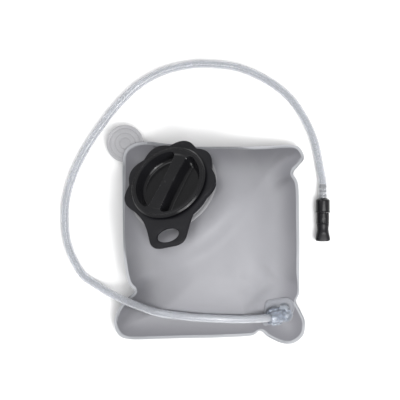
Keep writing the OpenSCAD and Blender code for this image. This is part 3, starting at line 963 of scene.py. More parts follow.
@dataclass(frozen=True)
class InflatedBag:
    """Front and back film of the bag, as an outline with ears and two bulging surfaces (millimetres)."""

    width: float = 206
    length: float = 222
    height: float = 92
    film: float = 0.8
    rim: float = 3.3
    seam: float = 38
    droop: float = 25
    front_roll: float = 75
    back_roll: float = 45
    disc_radius: float = 22
    disc_top: float = 11
    flange: float = 52.5
    neck: float = 45.6
    neck_wall: float = 2.0
    patch_reach: float = 29.1
    port_margin: float = 1.5
    port_fade: float = 54
    outlet_fade: float = 26
    disc_fade: float = 14
    corner_flatness: float = 0.75
    pucker_depth: float = 0.55
    pucker_reach: float = 12
    # reach in millimetres and strength of the painted shade near the rim, where the film turns down
    shade_width: float = 30
    shade_depth: float = 0.9
    shift: Triple = (5.4375, -7.4375, 0.0)
    outline_steps: int = 6
    inner_rings: int = 42
    outer_rings: int = 24
    back_rings: int = 36
    creases: tuple[Crease, ...] = (
        Crease((98, 84), (64, 56), 5.0, 3.0),
        Crease((90, 100), (66, 74), 7.0, -1.6),
        Crease((100, -72), (64, -26), 4.5, 2.8),
        Crease((80, -66), (52, -22), 8.0, -1.4),
        Crease((52, -74), (34, -56), 4.5, 1.4),
        Crease((54, -108), (52, -90), 4.0, 1.4),
        Crease((10, -22), (22, -36), 6.0, 0.5),
        Crease((38, -16), (38, -42), 5.0, 0.5),
        Crease((-10, -44), (34, -52), 6.0, 0.4),
        Crease((-92, -60), (-58, -36), 6.0, 2.6),
        Crease((-98, -82), (-66, -62), 7.0, -1.6),
        Crease((38, 92), (39, 84), 3.5, 0.9),
        Crease((54, 93), (54, 86), 3.5, 0.9),
        Crease((-98, -6), (-66, -18), 6.0, 1.6),
        Crease((-98, -36), (-70, -30), 8.0, -1.2),
    )

    def corner_points(self) -> np.ndarray:
        """The outline's points, anticlockwise, as offsets from each square corner.

        Returns:
            The points, one row each.
        """
        x, y = self.width / 2, self.length / 2
        top_right = [(-0.5, -46), (-6, -32), (0.5, -23), (8, -13), (2, -0.5), (-12.5, 2), (-43, -0.3),
                     (-83, -1.3)]
        top_left = [(83, -1.3), (66, 1.2), (48, 3), (28, 6), (10, 2.5), (0, -10), (0.5, -41), (2, -91)]
        bottom_left = [(3.5, 86), (8, 63), (14.5, 53), (4.5, 43), (-5, 31), (-10.5, 14), (-5, -1), (9, -5.5),
                       (43, -3), (83, -0.5)]
        bottom_right = [(-83, 0.5), (-55, 1.5), (-45, 7), (-35, -1), (-19, -9.5), (-5, -10.5), (7, -1),
                        (9, 15), (3, 29), (-3, 40.5), (0.5, 51), (0, 71), (-0.5, 131)]
        corners = (((x, y), top_right), ((-x, y), top_left), ((-x, -y), bottom_left), ((x, -y), bottom_right))
        return np.array([np.add(corner, offset) for corner, offsets in corners for offset in offsets])

    def outline(self) -> np.ndarray:
        """The smooth outer edge of the welded rim."""
        return spline_through(self.corner_points(), self.outline_steps, closed=True)

    def edge_distance(self, at: np.ndarray) -> np.ndarray:
        """Distance of points from the outline.

        Args:
            at: points, any shape ending in 2.

        Returns:
            The distances.
        """
        a = self.outline()
        run = np.roll(a, -1, axis=0) - a
        t = np.clip(((at[..., None, :] - a) * run).sum(-1) / (run * run).sum(-1), 0, 1)
        return np.linalg.norm(at[..., None, :] - (a + t[..., None] * run), axis=-1).min(axis=-1)

    def cornerness(self, at: np.ndarray) -> np.ndarray:
        """0 along the middle lines of the bag and 1 in its corners."""
        return np.minimum(np.abs(at[..., 0]) / (self.width / 2) * np.abs(at[..., 1]) / (self.length / 2), 1)

    def near_disc(self, at: np.ndarray) -> np.ndarray:
        """1 where the film lies on the hanging disc, fading to 0 round it."""
        centre = np.array((-self.width / 2 + 2, self.length / 2 + 4))
        return 1 - smoothstep((np.linalg.norm(at - centre, axis=-1) - self.disc_radius - 1) / self.disc_fade)

    def seam_height(self, at: np.ndarray) -> np.ndarray:
        """Height of the welded rim near points.

        Args:
            at: points in the bag's own frame.

        Returns:
            The heights.
        """
        level = self.seam - self.droop * self.cornerness(at) ** 1.5
        share = self.near_disc(at)
        return level * (1 - share) + (self.disc_top + self.film) * share

    @staticmethod
    def rise(distance: np.ndarray, roll: float) -> np.ndarray:
        """How far a film has risen, 0 to 1, at a distance from the rim."""
        return 1 - (1 - np.clip(distance / roll, 0, 1)) ** 2.2

    def seat_share(self, at: np.ndarray, seat: Matrix, flat: float,
                   fade: float) -> tuple[np.ndarray, np.ndarray]:
        """The plane of a rigid fitting and how much of it the film follows.

        Args:
            at: points in the bag's own frame.
            seat: the fitting's seat.
            flat: radius in its plane that is quite flat.
            fade: distance over which the film leaves the plane.

        Returns:
            The plane's heights and the shares, 0 to 1.
        """
        centre = np.array(seat.translation) / MM - np.array(self.shift)
        axis = np.array(seat.to_3x3().col[2])
        offset = at - centre[:2]
        plane = centre[2] - (offset @ axis[:2]) / axis[2]
        reach = np.linalg.norm(np.concatenate([offset, (plane - centre[2])[..., None]], axis=-1), axis=-1)
        t = np.clip((reach - flat) / fade, 0, 1)
        return plane - self.film, 1 - t**3 * (t * (t * 6 - 15) + 10)

    def front_height(self, at: np.ndarray, seats: Seats) -> np.ndarray:
        """Inner height of the front film at points.

        Args:
            at: points in the bag's own frame.
            seats: the places of the port and the outlet.

        Returns:
            The heights.
        """
        low = self.seam_height(at)
        distance = self.edge_distance(at)
        bulge = self.rise(np.maximum(distance - self.rim, 0), self.front_roll)
        crown = 1 - self.corner_flatness * smoothstep(self.cornerness(at))
        level = low + (self.height - self.film - low) * bulge * crown
        on_port, port_share = self.seat_share(at, seats.port, self.flange + self.port_margin, self.port_fade)
        on_outlet, outlet_share = self.seat_share(at, seats.outlet, self.patch_reach, self.outlet_fade)
        free = (1 - port_share) * (1 - outlet_share) * smoothstep((distance - self.rim) / 10)
        dips = sum(crease.dip(at) for crease in self.creases)
        level = level * (1 - port_share) + on_port * port_share
        level = level * (1 - outlet_share) + on_outlet * outlet_share
        return level - dips * free - self.pucker(at, distance) * free

    def pucker(self, at: np.ndarray, distance: np.ndarray) -> np.ndarray:
        """Small gathers that run in from the weld, strongest beside the ears.

        Args:
            at: points in the bag's own frame.
            distance: their distances from the outline.

        Returns:
            The depths in millimetres.
        """
        angle = np.arctan2(at[..., 1], at[..., 0])
        wave = np.sin(46 * angle + 2.1 * np.sin(5 * angle)) + 0.6 * np.sin(83 * angle + 1.3)
        strength = 0.35 + 0.9 * smoothstep((self.cornerness(at) - 0.45) / 0.4)
        near_weld = np.exp(-((distance - self.pucker_reach) / self.pucker_reach) ** 2)
        return self.pucker_depth * strength * wave * near_weld

    def back_height(self, at: np.ndarray) -> np.ndarray:
        """Inner height of the back film at points in the bag's own frame.

        Args:
            at: points in the bag's own frame.

        Returns:
            The heights.
        """
        low = self.seam_height(at)
        distance = self.edge_distance(at)
        share = 1 - 0.6 * smoothstep((self.cornerness(at) - 0.45) / 0.55)
        fall = self.rise(np.maximum(distance - self.rim, 0), self.back_roll) * share
        level = self.film + (low - self.film) * (1 - fall)
        level += 0.5 * np.maximum(self.pucker(at, distance), 0) * smoothstep((distance - self.rim) / 10)
        near = self.near_disc(at)
        return level * (1 - near) + (self.disc_top + self.film) * near

    def rim_inner(self, outline: np.ndarray) -> np.ndarray:
        """Where the weld ends, for each point of the outline."""
        return outline * (1 - self.rim / np.linalg.norm(outline, axis=1, keepdims=True))

    def middle_line(self, outline: np.ndarray) -> np.ndarray:
        """Where the lines from the port meet those from the rim: a five-sided line inside the bag.

        Args:
            outline: the outline's points.

        Returns:
            One point for each point of the outline.
        """
        x, y = self.width / 2, self.length / 2
        sides = ((0, (x - 11, 0)), (90, (0, y - 6.6)), (180, (7 - x, 0)), (270, (0, 13 - y)),
                 (200, (19 - x, 55 - y)))
        reach = np.linalg.norm(outline, axis=1)
        ray = outline / reach[:, None]
        for direction, at in sides:
            normal = np.array((math.cos(math.radians(direction)), math.sin(math.radians(direction))))
            facing = ray @ normal
            crossing = (normal @ at) / np.maximum(facing, 0.001)
            reach = np.where(facing > 0.001, np.minimum(reach, crossing), reach)
        return ray * reach[:, None]

    def front_rows(self, seats: Seats) -> list[np.ndarray]:
        """Rows of inner points of the front film, from the port's hole to the outline.

        Args:
            seats: the places of the fittings.

        Returns:
            The rows, from the middle out.
        """
        outline = self.outline()
        middle, rim = self.middle_line(outline), self.rim_inner(outline)
        axis = seats.port.to_3x3().col[2]
        lean = math.atan2(axis.y, axis.x)
        away = middle - (np.array(seats.port.translation) / MM - self.shift)[:2]
        plan = np.arctan2(away[:, 1], away[:, 0]) - lean
        turn = lean + np.arctan2(axis.z * np.sin(plan), np.cos(plan))
        ring = np.stack([np.cos(turn), np.sin(turn), 0 * turn], axis=1)
        rows = []
        for radius in (self.neck, self.neck + self.neck_wall + 1):
            placed = transform(ring * radius * MM, seats.port) / MM - self.shift
            placed[:, 2] -= self.film
            rows.append(placed)
        steps = [(rows[-1][:, :2], middle, k / self.inner_rings) for k in range(1, self.inner_rings)]
        steps += [(middle, rim, k / self.outer_rings) for k in range(self.outer_rings)]
        for start, end, share in steps:
            at = start * (1 - share) + end * share
            rows.append(np.column_stack([at, self.front_height(at, seats)]))
        return rows + self.rim_rows(outline)

    def rim_rows(self, outline: np.ndarray) -> list[np.ndarray]:
        """The two rows of points of the weld."""
        height = self.seam_height(outline)
        return [np.column_stack([at, height]) for at in (self.rim_inner(outline), outline)]

    def back_rows(self) -> list[np.ndarray]:
        """Rows of inner points of the back film, from near its middle to the outline.

        Returns:
            The rows, from the middle out.
        """
        outline = self.outline()
        inner = self.rim_inner(outline)
        shares = 1 - (1 - np.linspace(0.06, 1, self.back_rings, endpoint=False)) ** 1.3
        rows = [np.column_stack([inner * s, self.back_height(inner * s)]) for s in shares]
        return rows + self.rim_rows(outline)

    def sheet(self, name: str, rows: list[np.ndarray], side: int, closed_middle: bool,
              material: Material) -> Piece:
        """Makes a film between its inner rows and its outer surface.

        Args:
            name: the film's name.
            rows: rows of inner points from the middle out.
            side: 1 where the outer surface is above, -1 where it is below.
            closed_middle: whether the first row is closed by a centre.
            material: its finish.

        Returns:
            The film, with its weld attribute and its painted side shade attribute.
        """
        count = len(rows[0])
        inner = [np.array([[0, 0, rows[0][:, 2].mean()]] * count)] + rows if closed_middle else rows
        outer = [row + (0, 0, side * self.film) for row in inner]
        loop = np.concatenate(inner + outer[::-1]) + np.array(self.shift)
        faces = ring_faces(count, 2 * len(inner), loop=not closed_middle)
        film = make_piece(name, loop * MM, faces, material, 60)
        at = np.array([v.co[:2] for v in film.data.vertices]) / MM - np.array(self.shift)[:2]
        distance = self.edge_distance(at)
        weld = smoothstep((self.rim + 0.6 - distance) / 0.8)
        # painted shade: darker near the rim, where the film turns down, stored as the side attribute
        painted_side_shade = (1 - smoothstep((distance - 5) / self.shade_width)) * self.shade_depth
        for key, values in (("weld", weld), ("side", painted_side_shade)):
            shade = film.data.attributes.new(key, "FLOAT", "POINT")
            shade.data.foreach_set("value", values.astype(np.float32))
        return film

    def build(self, finishes: Finishes, seats: Seats) -> None:
        """Builds both films.

        Args:
            finishes: the object's finishes.
            seats: the places of the fittings.
        """
        front = self.sheet("front_film_shell", self.front_rows(seats), 1, False, finishes.film)
        fasten(front, Body.BAG, "bag_film", "front_film")
        back = self.sheet("back_film_shell", self.back_rows(), -1, True, finishes.film)
        fasten(back, Body.BAG, "bag_film", "back_film")


@dataclass(frozen=True)
class HangingDisc:
    """The round ribbed disc welded behind the top left corner (millimetres)."""

    radius: float = 22
    thickness: float = 2.4
    rib_step: float = 5.5
    rib_inner: float = 6.5
    rib: float = 0.55
    ribs: int = 3

    def build(self, finishes: Finishes) -> None:
        """Builds the disc and its ribs.

        Args:
            finishes: the object's finishes.
        """
        low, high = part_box("hanging_disc")
        middle = [(a + b) / 2 for a, b in zip(low, high)]
        seat = Matrix.Translation((middle[0], middle[1], low[2]))
        top = self.thickness - 0.5
        profile = [(0, 0), (self.radius, 0), (self.radius, self.thickness),
                   (self.radius - 2.2, self.thickness), (self.radius - 3, top), (0, top)]
        disc = lathe("ribbed_disc", rounded(profile, 0.5), seat, finishes.disc, 128)
        fasten(disc, Body.BAG, "frosted_disc", "hanging_disc")
        ribs = ring_ribs("disc_ribs", self.rib_inner, self.rib_step, self.ribs, self.rib, top - 0.05, seat,
                         finishes.disc)
        fasten(ribs, Body.BAG, "frosted_disc")


# ---- the filling port -------------------------------------------------------------------------


@dataclass(frozen=True)
class FillingPort:
    """Weld flange, seals, collar with handle and screw cap on the port's seat (millimetres)."""

    bore: float = 43.3
    wall: float = 2.0
    neck: float = 45.6
    neck_outside: float = 47.6
    neck_height: float = 8.0
    flange: float = 52.5
    valley: float = 51.0
    lobe: float = 56.0
    lobe_count: int = 9
    lobe_power: float = 0.6
    lobed_arc: float = 120.0
    skirt_inset: float = 1.6
    top: float = 12.5
    plate: float = 3.0
    handle_angle: float = -84.0
    handle: tuple[Pair, ...] = (
        (26, 43.4), (31.5, 38.4), (37, 34), (43, 30.2), (50, 27.2), (58, 24.6), (66.5, 22.4), (72.4, 20.6),
        (76.6, 17.2), (78.9, 12), (79.4, 6))
    finger_centre: float = 65.3
    finger_size: Pair = (16.5, 25.5)
    cap_radius: float = 45.0
    cap_low: float = 14.28
    cap_top: float = 17.28
    cap_chamfer: float = 1.6
    cap_steps: int = 256
    plug: float = 41.6
    plug_low: float = 3.0
    recess: float = 38.2
    recess_floor: float = 5.0
    recess_corner: float = 7.0
    groove_radius: float = 42.2
    bar_half: float = 7.25
    bar_angle: float = 69.0
    lead: float = 8.0
    starts: int = 2
    thread_run: float = 5

    def scallop(self, away: np.ndarray) -> np.ndarray:
        """Radius of the lobed edge at angles from the side opposite the handle."""
        swell = (0.5 - 0.5 * np.cos(away * self.lobe_count)) ** self.lobe_power
        return self.valley + (self.lobe - self.valley) * swell

    def turned(self, outline: np.ndarray) -> np.ndarray:
        """Turns an outline drawn along +x to the handle's direction."""
        turn = math.radians(self.handle_angle)
        return outline @ np.array([[math.cos(turn), math.sin(turn)], [-math.sin(turn), math.cos(turn)]])

    def lobed(self) -> np.ndarray:
        """Outline of the collar with its lobes and its handle.

        Returns:
            The outline's points in the port's plane.
        """
        away = np.radians(np.arange(2 - self.lobed_arc, self.lobed_arc - 1, 2.0))
        lobes = -self.scallop(away)[:, None] * np.stack([np.cos(away), np.sin(away)], axis=1)
        half = np.array(self.handle)
        handle = spline_through(np.concatenate([half, half[::-1] * (1, -1)]), 4, closed=False)
        return self.turned(np.concatenate([lobes, handle[::-1]]))

    def finger_hole(self) -> np.ndarray:
        """Outline of the oval hole in the handle."""
        return self.turned(self.circle(0.5, 64) * self.finger_size + (self.finger_centre, 0))

    @staticmethod
    def circle(radius: float, steps: int = 144) -> np.ndarray:
        """Outline of a circle."""
        a = np.linspace(0, 2 * math.pi, steps, endpoint=False)
        return radius * np.stack([np.cos(a), np.sin(a)], axis=1)

    def build_collar(self, finishes: Finishes, seat: Matrix) -> None:
        """Builds the collar's plate, skirt, threaded tube and thread.

        Args:
            finishes: the object's finishes.
            seat: the port's seat.
        """
        low = self.top - self.plate
        collar = plate("collar_plate", [self.lobed(), self.finger_hole(), self.circle(self.bore + 0.6)],
                       low, self.top, 0.9, seat, finishes.collar)
        fasten(collar, Body.BAG, "black_plastic", "port_collar")
        skirt = plate("collar_skirt", [self.skirt_outline(0.4), self.skirt_outline(2.4)], 3.5, low + 0.6, 0.4,
                      seat, finishes.collar)
        fasten(skirt, Body.BAG, "black_plastic")
        tube = ring_profile(self.bore, self.bore + self.wall, 0.4, self.top - 0.3, 0.4)
        fasten(lathe("collar_tube", tube, seat, finishes.collar, 144), Body.BAG, "black_plastic")
        thread = thread_ridges("collar_thread", self.bore, self.plug + 0.5, 6, self.thread_run, self.lead,
                               self.starts, seat, finishes.collar)
        fasten(thread, Body.BAG, "black_plastic")

    def skirt_outline(self, inset: float) -> np.ndarray:
        """Outline of the lobed skirt, which runs all round under the plate.

        Args:
            inset: how far the outline is drawn in.

        Returns:
            The outline's points in the port's plane.
        """
        a = np.radians(np.arange(0, 360, 2.0))
        away = (a - math.radians(self.handle_angle + 180) + math.pi) % (2 * math.pi) - math.pi
        ring = np.where(np.abs(away) < math.radians(self.lobed_arc), self.scallop(away), self.valley)
        return (ring - self.skirt_inset - inset)[:, None] * np.stack([np.cos(a), np.sin(a)], axis=1)

    def cap_surface(self, r: np.ndarray, a: np.ndarray) -> np.ndarray:
        """Height of the cap's upper face, with its two filleted recesses beside the grip bar.

        Args:
            r: radii.
            a: angles in the port's plane.

        Returns:
            The heights.
        """
        turn = a - math.radians(self.bar_angle)
        along, across = r * np.cos(turn), np.abs(r * np.sin(turn))
        corner = self.recess_corner
        waist = self.bar_half + 0.9 * np.exp(-((np.abs(along) - 30) / 9) ** 2)
        to_bar, to_rim = across - waist, self.recess - r
        inside = np.minimum(np.minimum(to_bar, to_rim), corner)
        rounded_corner = corner - np.hypot(np.maximum(corner - to_bar, 0), np.maximum(corner - to_rim, 0))
        depth = np.where((to_bar < corner) & (to_rim < corner), rounded_corner, inside)
        wall = smoothstep(depth + 1) * (1 - (1 - np.clip((depth + 0.4) / corner, 0, 1)) ** 2.4)
        drop = self.cap_top - self.recess_floor
        bar_sag = 0.5 * smoothstep((self.recess - 2 - r) / 3) * (1 - wall)
        groove = 0.35 * np.exp(-((r - self.groove_radius) / 0.35) ** 2)
        gate = 0.25 * np.exp(-((along + 1) ** 2 + (r * np.sin(turn) - 2.5) ** 2))
        return self.cap_top - drop * wall - bar_sag - groove - gate

    def build_cap(self, finishes: Finishes, seat: Matrix) -> None:
        """Builds the screw cap as one closed surface, and its thread.

        Args:
            finishes: the object's finishes.
            seat: the port's seat.
        """
        a = np.linspace(0, 2 * math.pi, self.cap_steps, endpoint=False)
        circle = self.circle(1.0, self.cap_steps)
        radii = np.concatenate([np.linspace(0.0, 30, 50), np.linspace(30.4, 43.4, 56)])
        rows = [(radius, self.cap_surface(np.full(self.cap_steps, radius), a)) for radius in radii]
        rows += rounded([(43.45, self.cap_top), (self.cap_radius - self.cap_chamfer + 0.1, self.cap_top),
                         (self.cap_radius, self.cap_top - self.cap_chamfer), (self.cap_radius, self.cap_low),
                         (self.plug + 0.1, self.cap_low), (self.plug, self.cap_low - 0.5),
                         (self.plug, self.plug_low), (0.0, self.plug_low)], 0.35)
        rows = [np.column_stack([circle * radius, height + 0 * a]) for radius, height in rows]
        points = transform(np.concatenate(rows) * MM, seat)
        cap = make_piece("screw_cap_body", points, ring_faces(self.cap_steps, len(rows)), finishes.cap, 50)
        fasten(cap, Body.CAP, "black_cap", "fill_cap")
        thread = thread_ridges("cap_thread", self.plug, self.bore - 0.5, 4, self.thread_run, self.lead,
                               self.starts, seat, finishes.cap)
        fasten(thread, Body.CAP, "black_cap")

    def build(self, finishes: Finishes, seats: Seats) -> None:
        """Builds the whole filling port.

        Args:
            finishes: the object's finishes.
            seats: the places of the sub-assemblies.
        """
        seat = seats.port
        flange = rounded([(self.neck, 0), (self.flange, 0), (self.flange, 0.8), (self.flange - 2, 1.6),
                          (self.neck_outside, 1.6), (self.neck_outside, self.neck_height),
                          (self.neck, self.neck_height), (self.neck, 0)], 0.5)
        welded = lathe("weld_flange", flange, seat, finishes.neck, 144)
        fasten(welded, Body.BAG, "clear_fittings", "port_flange")
        seal = ring_profile(self.neck + 0.1, self.neck_outside - 0.1, self.neck_height + 0.1, 9.3, 0.3)
        fasten(lathe("neck_seal", seal, seat, finishes.seal), Body.BAG, "seal_rubber", "collar_seal")
        gasket = ring_profile(self.plug + 0.1, 43.9, 12.8, 14.2, 0.4)
        fasten(lathe("cap_seal", gasket, seat, finishes.seal), Body.GASKET, "seal_rubber", "cap_gasket")
        self.build_collar(finishes, seat)
        self.build_cap(finishes, seat)


# ---- the outlet -------------------------------------------------------------------------------


@dataclass(frozen=True)
class Outlet:
    """Weld patch, elbow and grip collar in the lower right corner (millimetres)."""

    patch_half: float = 17.0
    patch_length: float = 23.0
    patch_corner: float = 5.0
    patch: float = 1.2
    dome: float = 8.6
    dome_low: float = 3.1
    axis_height: float = 11.0
    bore: float = 3.3
    barrel: float = 6.2
    collar_start: float = 7.7
    collar_length: float = 14.0
    collar_radius: float = 9.2
    collar_bore: float = 4.7
    bump_rows: int = 3
    bumps_around: int = 12
    bump: float = 1.25

    def patch_outline(self, inset: float) -> np.ndarray:
        """Outline of the patch: round at the dome's end, square with round corners at the hose's end.

        Args:
            inset: how far the outline is drawn in.

        Returns:
            The outline's points in the patch's plane.
        """
        half, end, corner = self.patch_half - inset, self.patch_length - inset, self.patch_corner
        turn = np.radians(np.linspace(-90, 90, 33))
        back = np.stack([half * np.cos(turn), half * np.sin(turn)], axis=1)
        quarter = np.radians(np.linspace(90, 180, 9))
        top = np.stack([corner * (1 + np.cos(quarter)) - end, half - corner * (1 - np.sin(quarter))], axis=1)
        return np.concatenate([back, top, top[::-1] * (1, -1)])

    def build(self, finishes: Finishes, seats: Seats) -> None:
        """Builds the outlet.

        Args:
            finishes: the object's finishes.
            seats: the places of the sub-assemblies.
        """
        seat = seats.outlet
        run = seat @ Matrix.Translation((0, 0, self.axis_height * MM)) @ Matrix.Rotation(-math.pi / 2, 4, "Y")
        base = plate("weld_patch", [self.patch_outline(0)], 0, self.patch, 0.4, seat, finishes.patch)
        fasten(base, Body.BAG, "clear_fittings", "outlet_patch")
        for name, inset in (("patch_border", 1.0), ("patch_inner_border", 5.5)):
            edges = [self.patch_outline(inset), self.patch_outline(inset + 1.1)]
            border = plate(name, edges, self.patch - 0.3, self.patch + 0.5, 0.25, seat, finishes.patch)
            fasten(border, Body.BAG, "clear_fittings")
        low = self.patch - 0.2
        socket = rounded([(self.barrel, low), (10.5, low), (8.2, self.patch + 1.2), (7.6, 3.0),
                          (self.barrel, 3.0), (self.barrel, low)], 0.6)
        fasten(lathe("outlet_socket", socket, seat, finishes.fitting, 64), Body.BAG, "clear_fittings")
        middle = self.axis_height - 1
        dome = [(0, self.dome_low), (self.dome, self.dome_low)]
        dome += [(self.dome * math.cos(t), middle + self.dome * math.sin(t))
                 for t in np.radians(np.linspace(0, 90, 14))[:-1]]
        dome += [(0, middle + self.dome)]
        elbow = lathe("elbow_dome", dome, seat, finishes.fitting, 64)
        fasten(elbow, Body.BAG, "clear_fittings", "outlet_elbow")
        barrel = ring_profile(self.bore, self.barrel, 1.0, self.collar_start - 0.2, 0.5)
        fasten(lathe("elbow_barrel", barrel, run, finishes.fitting, 48), Body.BAG, "clear_fittings")
        collar_seat = run @ Matrix.Translation((0, 0, self.collar_start * MM))
        inside, outside, length = self.collar_bore, self.collar_radius, self.collar_length
        collar = rounded([(inside, 0), (outside, 0), (outside, length * 0.62), (outside - 1.4, length),
                          (inside, length), (inside, 0)], 0.8)
        grip = lathe("grip_collar", collar, collar_seat, finishes.fitting, 64)
        fasten(grip, Body.BAG, "clear_fittings", "hose_collar")
        bumps = bump_rows("grip_bumps", outside - 0.3, length - 3, self.bump_rows, self.bumps_around,
                          self.bump, collar_seat, finishes.fitting)
        fasten(bumps, Body.BAG, "clear_fittings")
        dress("elbow_seal", finishes.seal)


# ---- the bite valve ---------------------------------------------------------------------------


@dataclass(frozen=True)
class BiteValve:
    """Housing with barb, retaining ring, turning core, sleeve and silicone mouthpiece (millimetres)."""

    housing: float = 8.2
    housing_length: float = 15.6
    cavity: float = 6.8
    barb_length: float = 16.0
    barb_bore: float = 2.2
    ridges: int = 3
    ridge_step: float = 5.2
    ring: float = 8.5
    ring_bore: float = 4.1
    ring_end: float = 17.4
    sleeve: float = 7.45
    sleeve_start: float = 17.7
    mark_height: float = 27.4
    mark_size: Pair = (1.7, 3.0)
    mouth_start: float = 31.2
    mouth: tuple[Pair, ...] = (
        (7.25, 31.2), (7.2, 32.4), (6.8, 35), (6.7, 37.5), (7.0, 40), (7.7, 43.5), (8.35, 46.5), (8.7, 48.6),
        (8.3, 50.3), (7.2, 51.2))
    hollow: tuple[Pair, ...] = (
        (5.5, 51.35), (3.0, 51.4), (0.35, 51.3), (0.35, 49.7), (5.4, 49.6), (6.0, 47), (5.3, 40), (4.0, 37.4))
    bite_start: float = 40.5
    bite_half: float = 6.9
    stem: float = 4.0

    def housing_profile(self) -> Profile:
        """Barb with its ridges, shoulder and open housing.

        Returns:
            The closed profile.
        """
        outer = [(self.barb_bore, -self.barb_length)]
        for ridge in range(self.ridges):
            start = -self.barb_length + self.ridge_step * ridge
            outer += [(2.7, start), (3.65, start + 3.2), (3.6, start + 3.8), (2.8, start + 4.3)]
        outer += [(3.4, -0.2), (4.4, 0.2), (6.6, 1.4), (8.0, 2.4), (self.housing, 3.6),
                  (self.housing, self.housing_length)]
        inner = [(self.cavity, self.housing_length), (self.cavity, 4), (self.barb_bore, 4),
                 (self.barb_bore, -self.barb_length)]
        return rounded(outer + inner, 0.35, 3)

    def sleeve_profile(self) -> Profile:
        """The turning sleeve, with close rows where the marks are pressed in.

        Returns:
            The closed profile.
        """
        low, high = self.sleeve_start, self.mouth_start - 0.1
        foot = rounded([(self.stem, low), (self.sleeve, low), (self.sleeve, low + 1.1)], 0.7)
        wall = [(self.sleeve, z) for z in np.linspace(low + 1.2, high - 1.0, 22)]
        end = [(self.sleeve, high - 0.6), (self.sleeve - 0.5, high), (self.stem, high), (self.stem, low)]
        return foot + wall + end

    def grip_mark(self, r: np.ndarray, z: np.ndarray, a: np.ndarray) -> np.ndarray:
        """Presses a lens-shaped mark into the sleeve on four sides.

        Args:
            r: radii.
            z: heights above the seat.
            a: angles round the axis.

        Returns:
            The changed radii.
        """
        across = ((a + math.pi / 4) % (math.pi / 2) - math.pi / 4) * self.sleeve
        reach = (across / self.mark_size[0]) ** 2 + ((z - self.mark_height) / self.mark_size[1]) ** 2
        return r - 0.55 * smoothstep(1.6 - reach) * (r > self.stem + 1)

    def bite_shape(self, r: np.ndarray, z: np.ndarray, a: np.ndarray) -> np.ndarray:
        """Flattens the mouthpiece's tip on two sides.

        Args:
            r: radii.
            z: heights above the seat.
            a: angles round the axis.

        Returns:
            The changed radii.
        """
        tip = smoothstep((z - self.bite_start) / 2.5)
        flat = np.minimum(self.bite_half / np.maximum(np.abs(np.sin(a)), 1e-6), 60)
        round_off = 1 / (r ** -8.0 + flat ** -8.0) ** 0.125
        return np.where(r > 5.8, r * (1 - tip) + round_off * tip, r)

    def mouth_profile(self) -> Profile:
        """Outer wall, thin front and hollow of the mouthpiece.

        Returns:
            The closed profile.
        """
        foot = [(self.stem, self.mouth_start)]
        smooth = spline_through(np.array(self.mouth), 4, closed=False)
        return foot + [(float(r), float(z)) for r, z in smooth] + list(self.hollow) + foot

    def build(self, finishes: Finishes, seats: Seats) -> list[Piece | str]:
        """Builds the valve.

        Args:
            finishes: the object's finishes.
            seats: the places of the sub-assemblies.

        Returns:
            The pieces that sit on the hose's end.
        """
        seat, plastic = seats.valve, finishes.valve
        lip = ring_profile(self.ring_bore, self.ring, self.housing_length, self.ring_end, 0.5)
        housing = lathe("valve_housing_body", self.housing_profile(), seat, plastic, 72)
        ring = lathe("valve_ring", lip, seat, plastic, 72)
        sleeve = lathe("turning_sleeve", self.sleeve_profile(), seat, plastic, 144, self.grip_mark)
        mouth = lathe("mouthpiece_body", self.mouth_profile(), seat, finishes.silicone, 96, self.bite_shape)
        fasten(housing, Body.BAG, "black_plastic", "valve_housing")
        fasten(ring, Body.BAG, "black_plastic", "retaining_ring")
        fasten(sleeve, Body.VALVE, "black_plastic", "valve_sleeve")
        fasten(mouth, Body.VALVE, "black_silicone", "mouthpiece")
        inside = [dress("shutoff_core", finishes.core), dress("seat_disc", finishes.seal),
                  dress("core_ring", finishes.seal)]
        return [housing, ring, sleeve, mouth, *inside]


# ---- the stage --------------------------------------------------------------------------------


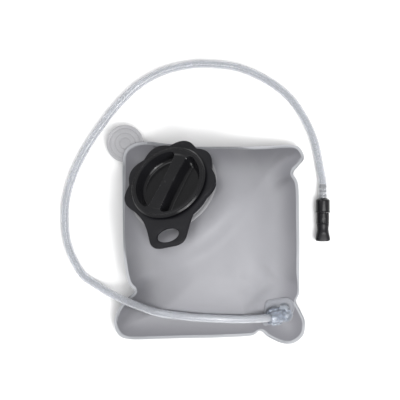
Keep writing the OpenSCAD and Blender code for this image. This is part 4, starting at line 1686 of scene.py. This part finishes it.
@dataclass(frozen=True)
class Stage:
    """Pale floor, soft studio light and the camera straight above."""

    camera_height: float = 1.0
    floor_span: float = 0.480
    floor_reach: float = 4.0
    aim: Pair = (-0.0066, 0.0406)
    sensor: float = 36.0
    world_light: float = 0.5

    def build_floor(self) -> None:
        """Makes the pale floor."""
        board = NodeBoard("pale_floor")
        pale = board.blend(board.noise(3, 2), (0.93, 0.93, 0.93), (0.96, 0.96, 0.96))
        board.set(Base_Color=pale, Roughness=0.6)
        mesh = bpy.data.meshes.new("floor")
        reach = self.floor_reach
        corners = [(-reach, -reach, 0), (reach, -reach, 0), (reach, reach, 0), (-reach, reach, 0)]
        mesh.from_pydata(corners, [], [(0, 1, 2, 3)])
        mesh.materials.append(board.material)
        floor = bpy.data.objects.new("floor", mesh)
        bpy.context.scene.collection.objects.link(floor)

    def build_light(self, name: str, at: Triple, span: float, power: float) -> None:
        """Makes one square soft light that points at the bag.

        Args:
            name: the light's name.
            at: its place in metres.
            span: its side's length in metres.
            power: its power in watts.
        """
        light = bpy.data.lights.new(name, "AREA")
        light.size = span
        light.energy = power
        lamp = bpy.data.objects.new(name, light)
        lamp.location = at
        lamp.rotation_euler = (Vector((0, 0, 0.05)) - Vector(at)).to_track_quat("-Z", "Y").to_euler()
        bpy.context.scene.collection.objects.link(lamp)

    def build_camera(self) -> None:
        """Makes the camera."""
        data = bpy.data.cameras.new("camera")
        data.sensor_width = self.sensor
        data.lens = self.sensor * self.camera_height / self.floor_span
        camera = bpy.data.objects.new("camera", data)
        camera.location = (*self.aim, self.camera_height)
        bpy.context.scene.collection.objects.link(camera)
        bpy.context.scene.camera = camera

    def build(self) -> None:
        """Sets the stage."""
        self.build_floor()
        self.build_camera()
        self.build_light("key", (0.40, -0.42, 1.30), 1.2, 18)
        self.build_light("spark", (0.42, -0.46, 1.22), 0.26, 4)
        self.build_light("left_fill", (-1.0, 0.8, 1.1), 1.0, 6)
        world = bpy.data.worlds.new("studio")
        world.use_nodes = True
        sky = world.node_tree.nodes["Background"].inputs
        sky["Color"].default_value = (1.0, 1.0, 1.0, 1.0)
        sky["Strength"].default_value = self.world_light
        bpy.context.scene.world = world
        bpy.context.scene.view_settings.view_transform = "Standard"


def main() -> None:
    """Builds every sub-assembly and reports it."""
    logging.basicConfig(level=logging.INFO, format="%(name)s: %(message)s")
    Stage().build()
    seats = Seats.from_frame()
    finishes = Finishes()
    valve_pieces = BiteValve().build(finishes, seats)
    DrinkingHose().build(finishes, valve_pieces)
    InflatedBag().build(finishes, seats)
    HangingDisc().build(finishes)
    FillingPort().build(finishes, seats)
    Outlet().build(finishes, seats)


if __name__ == "__main__":
    main()
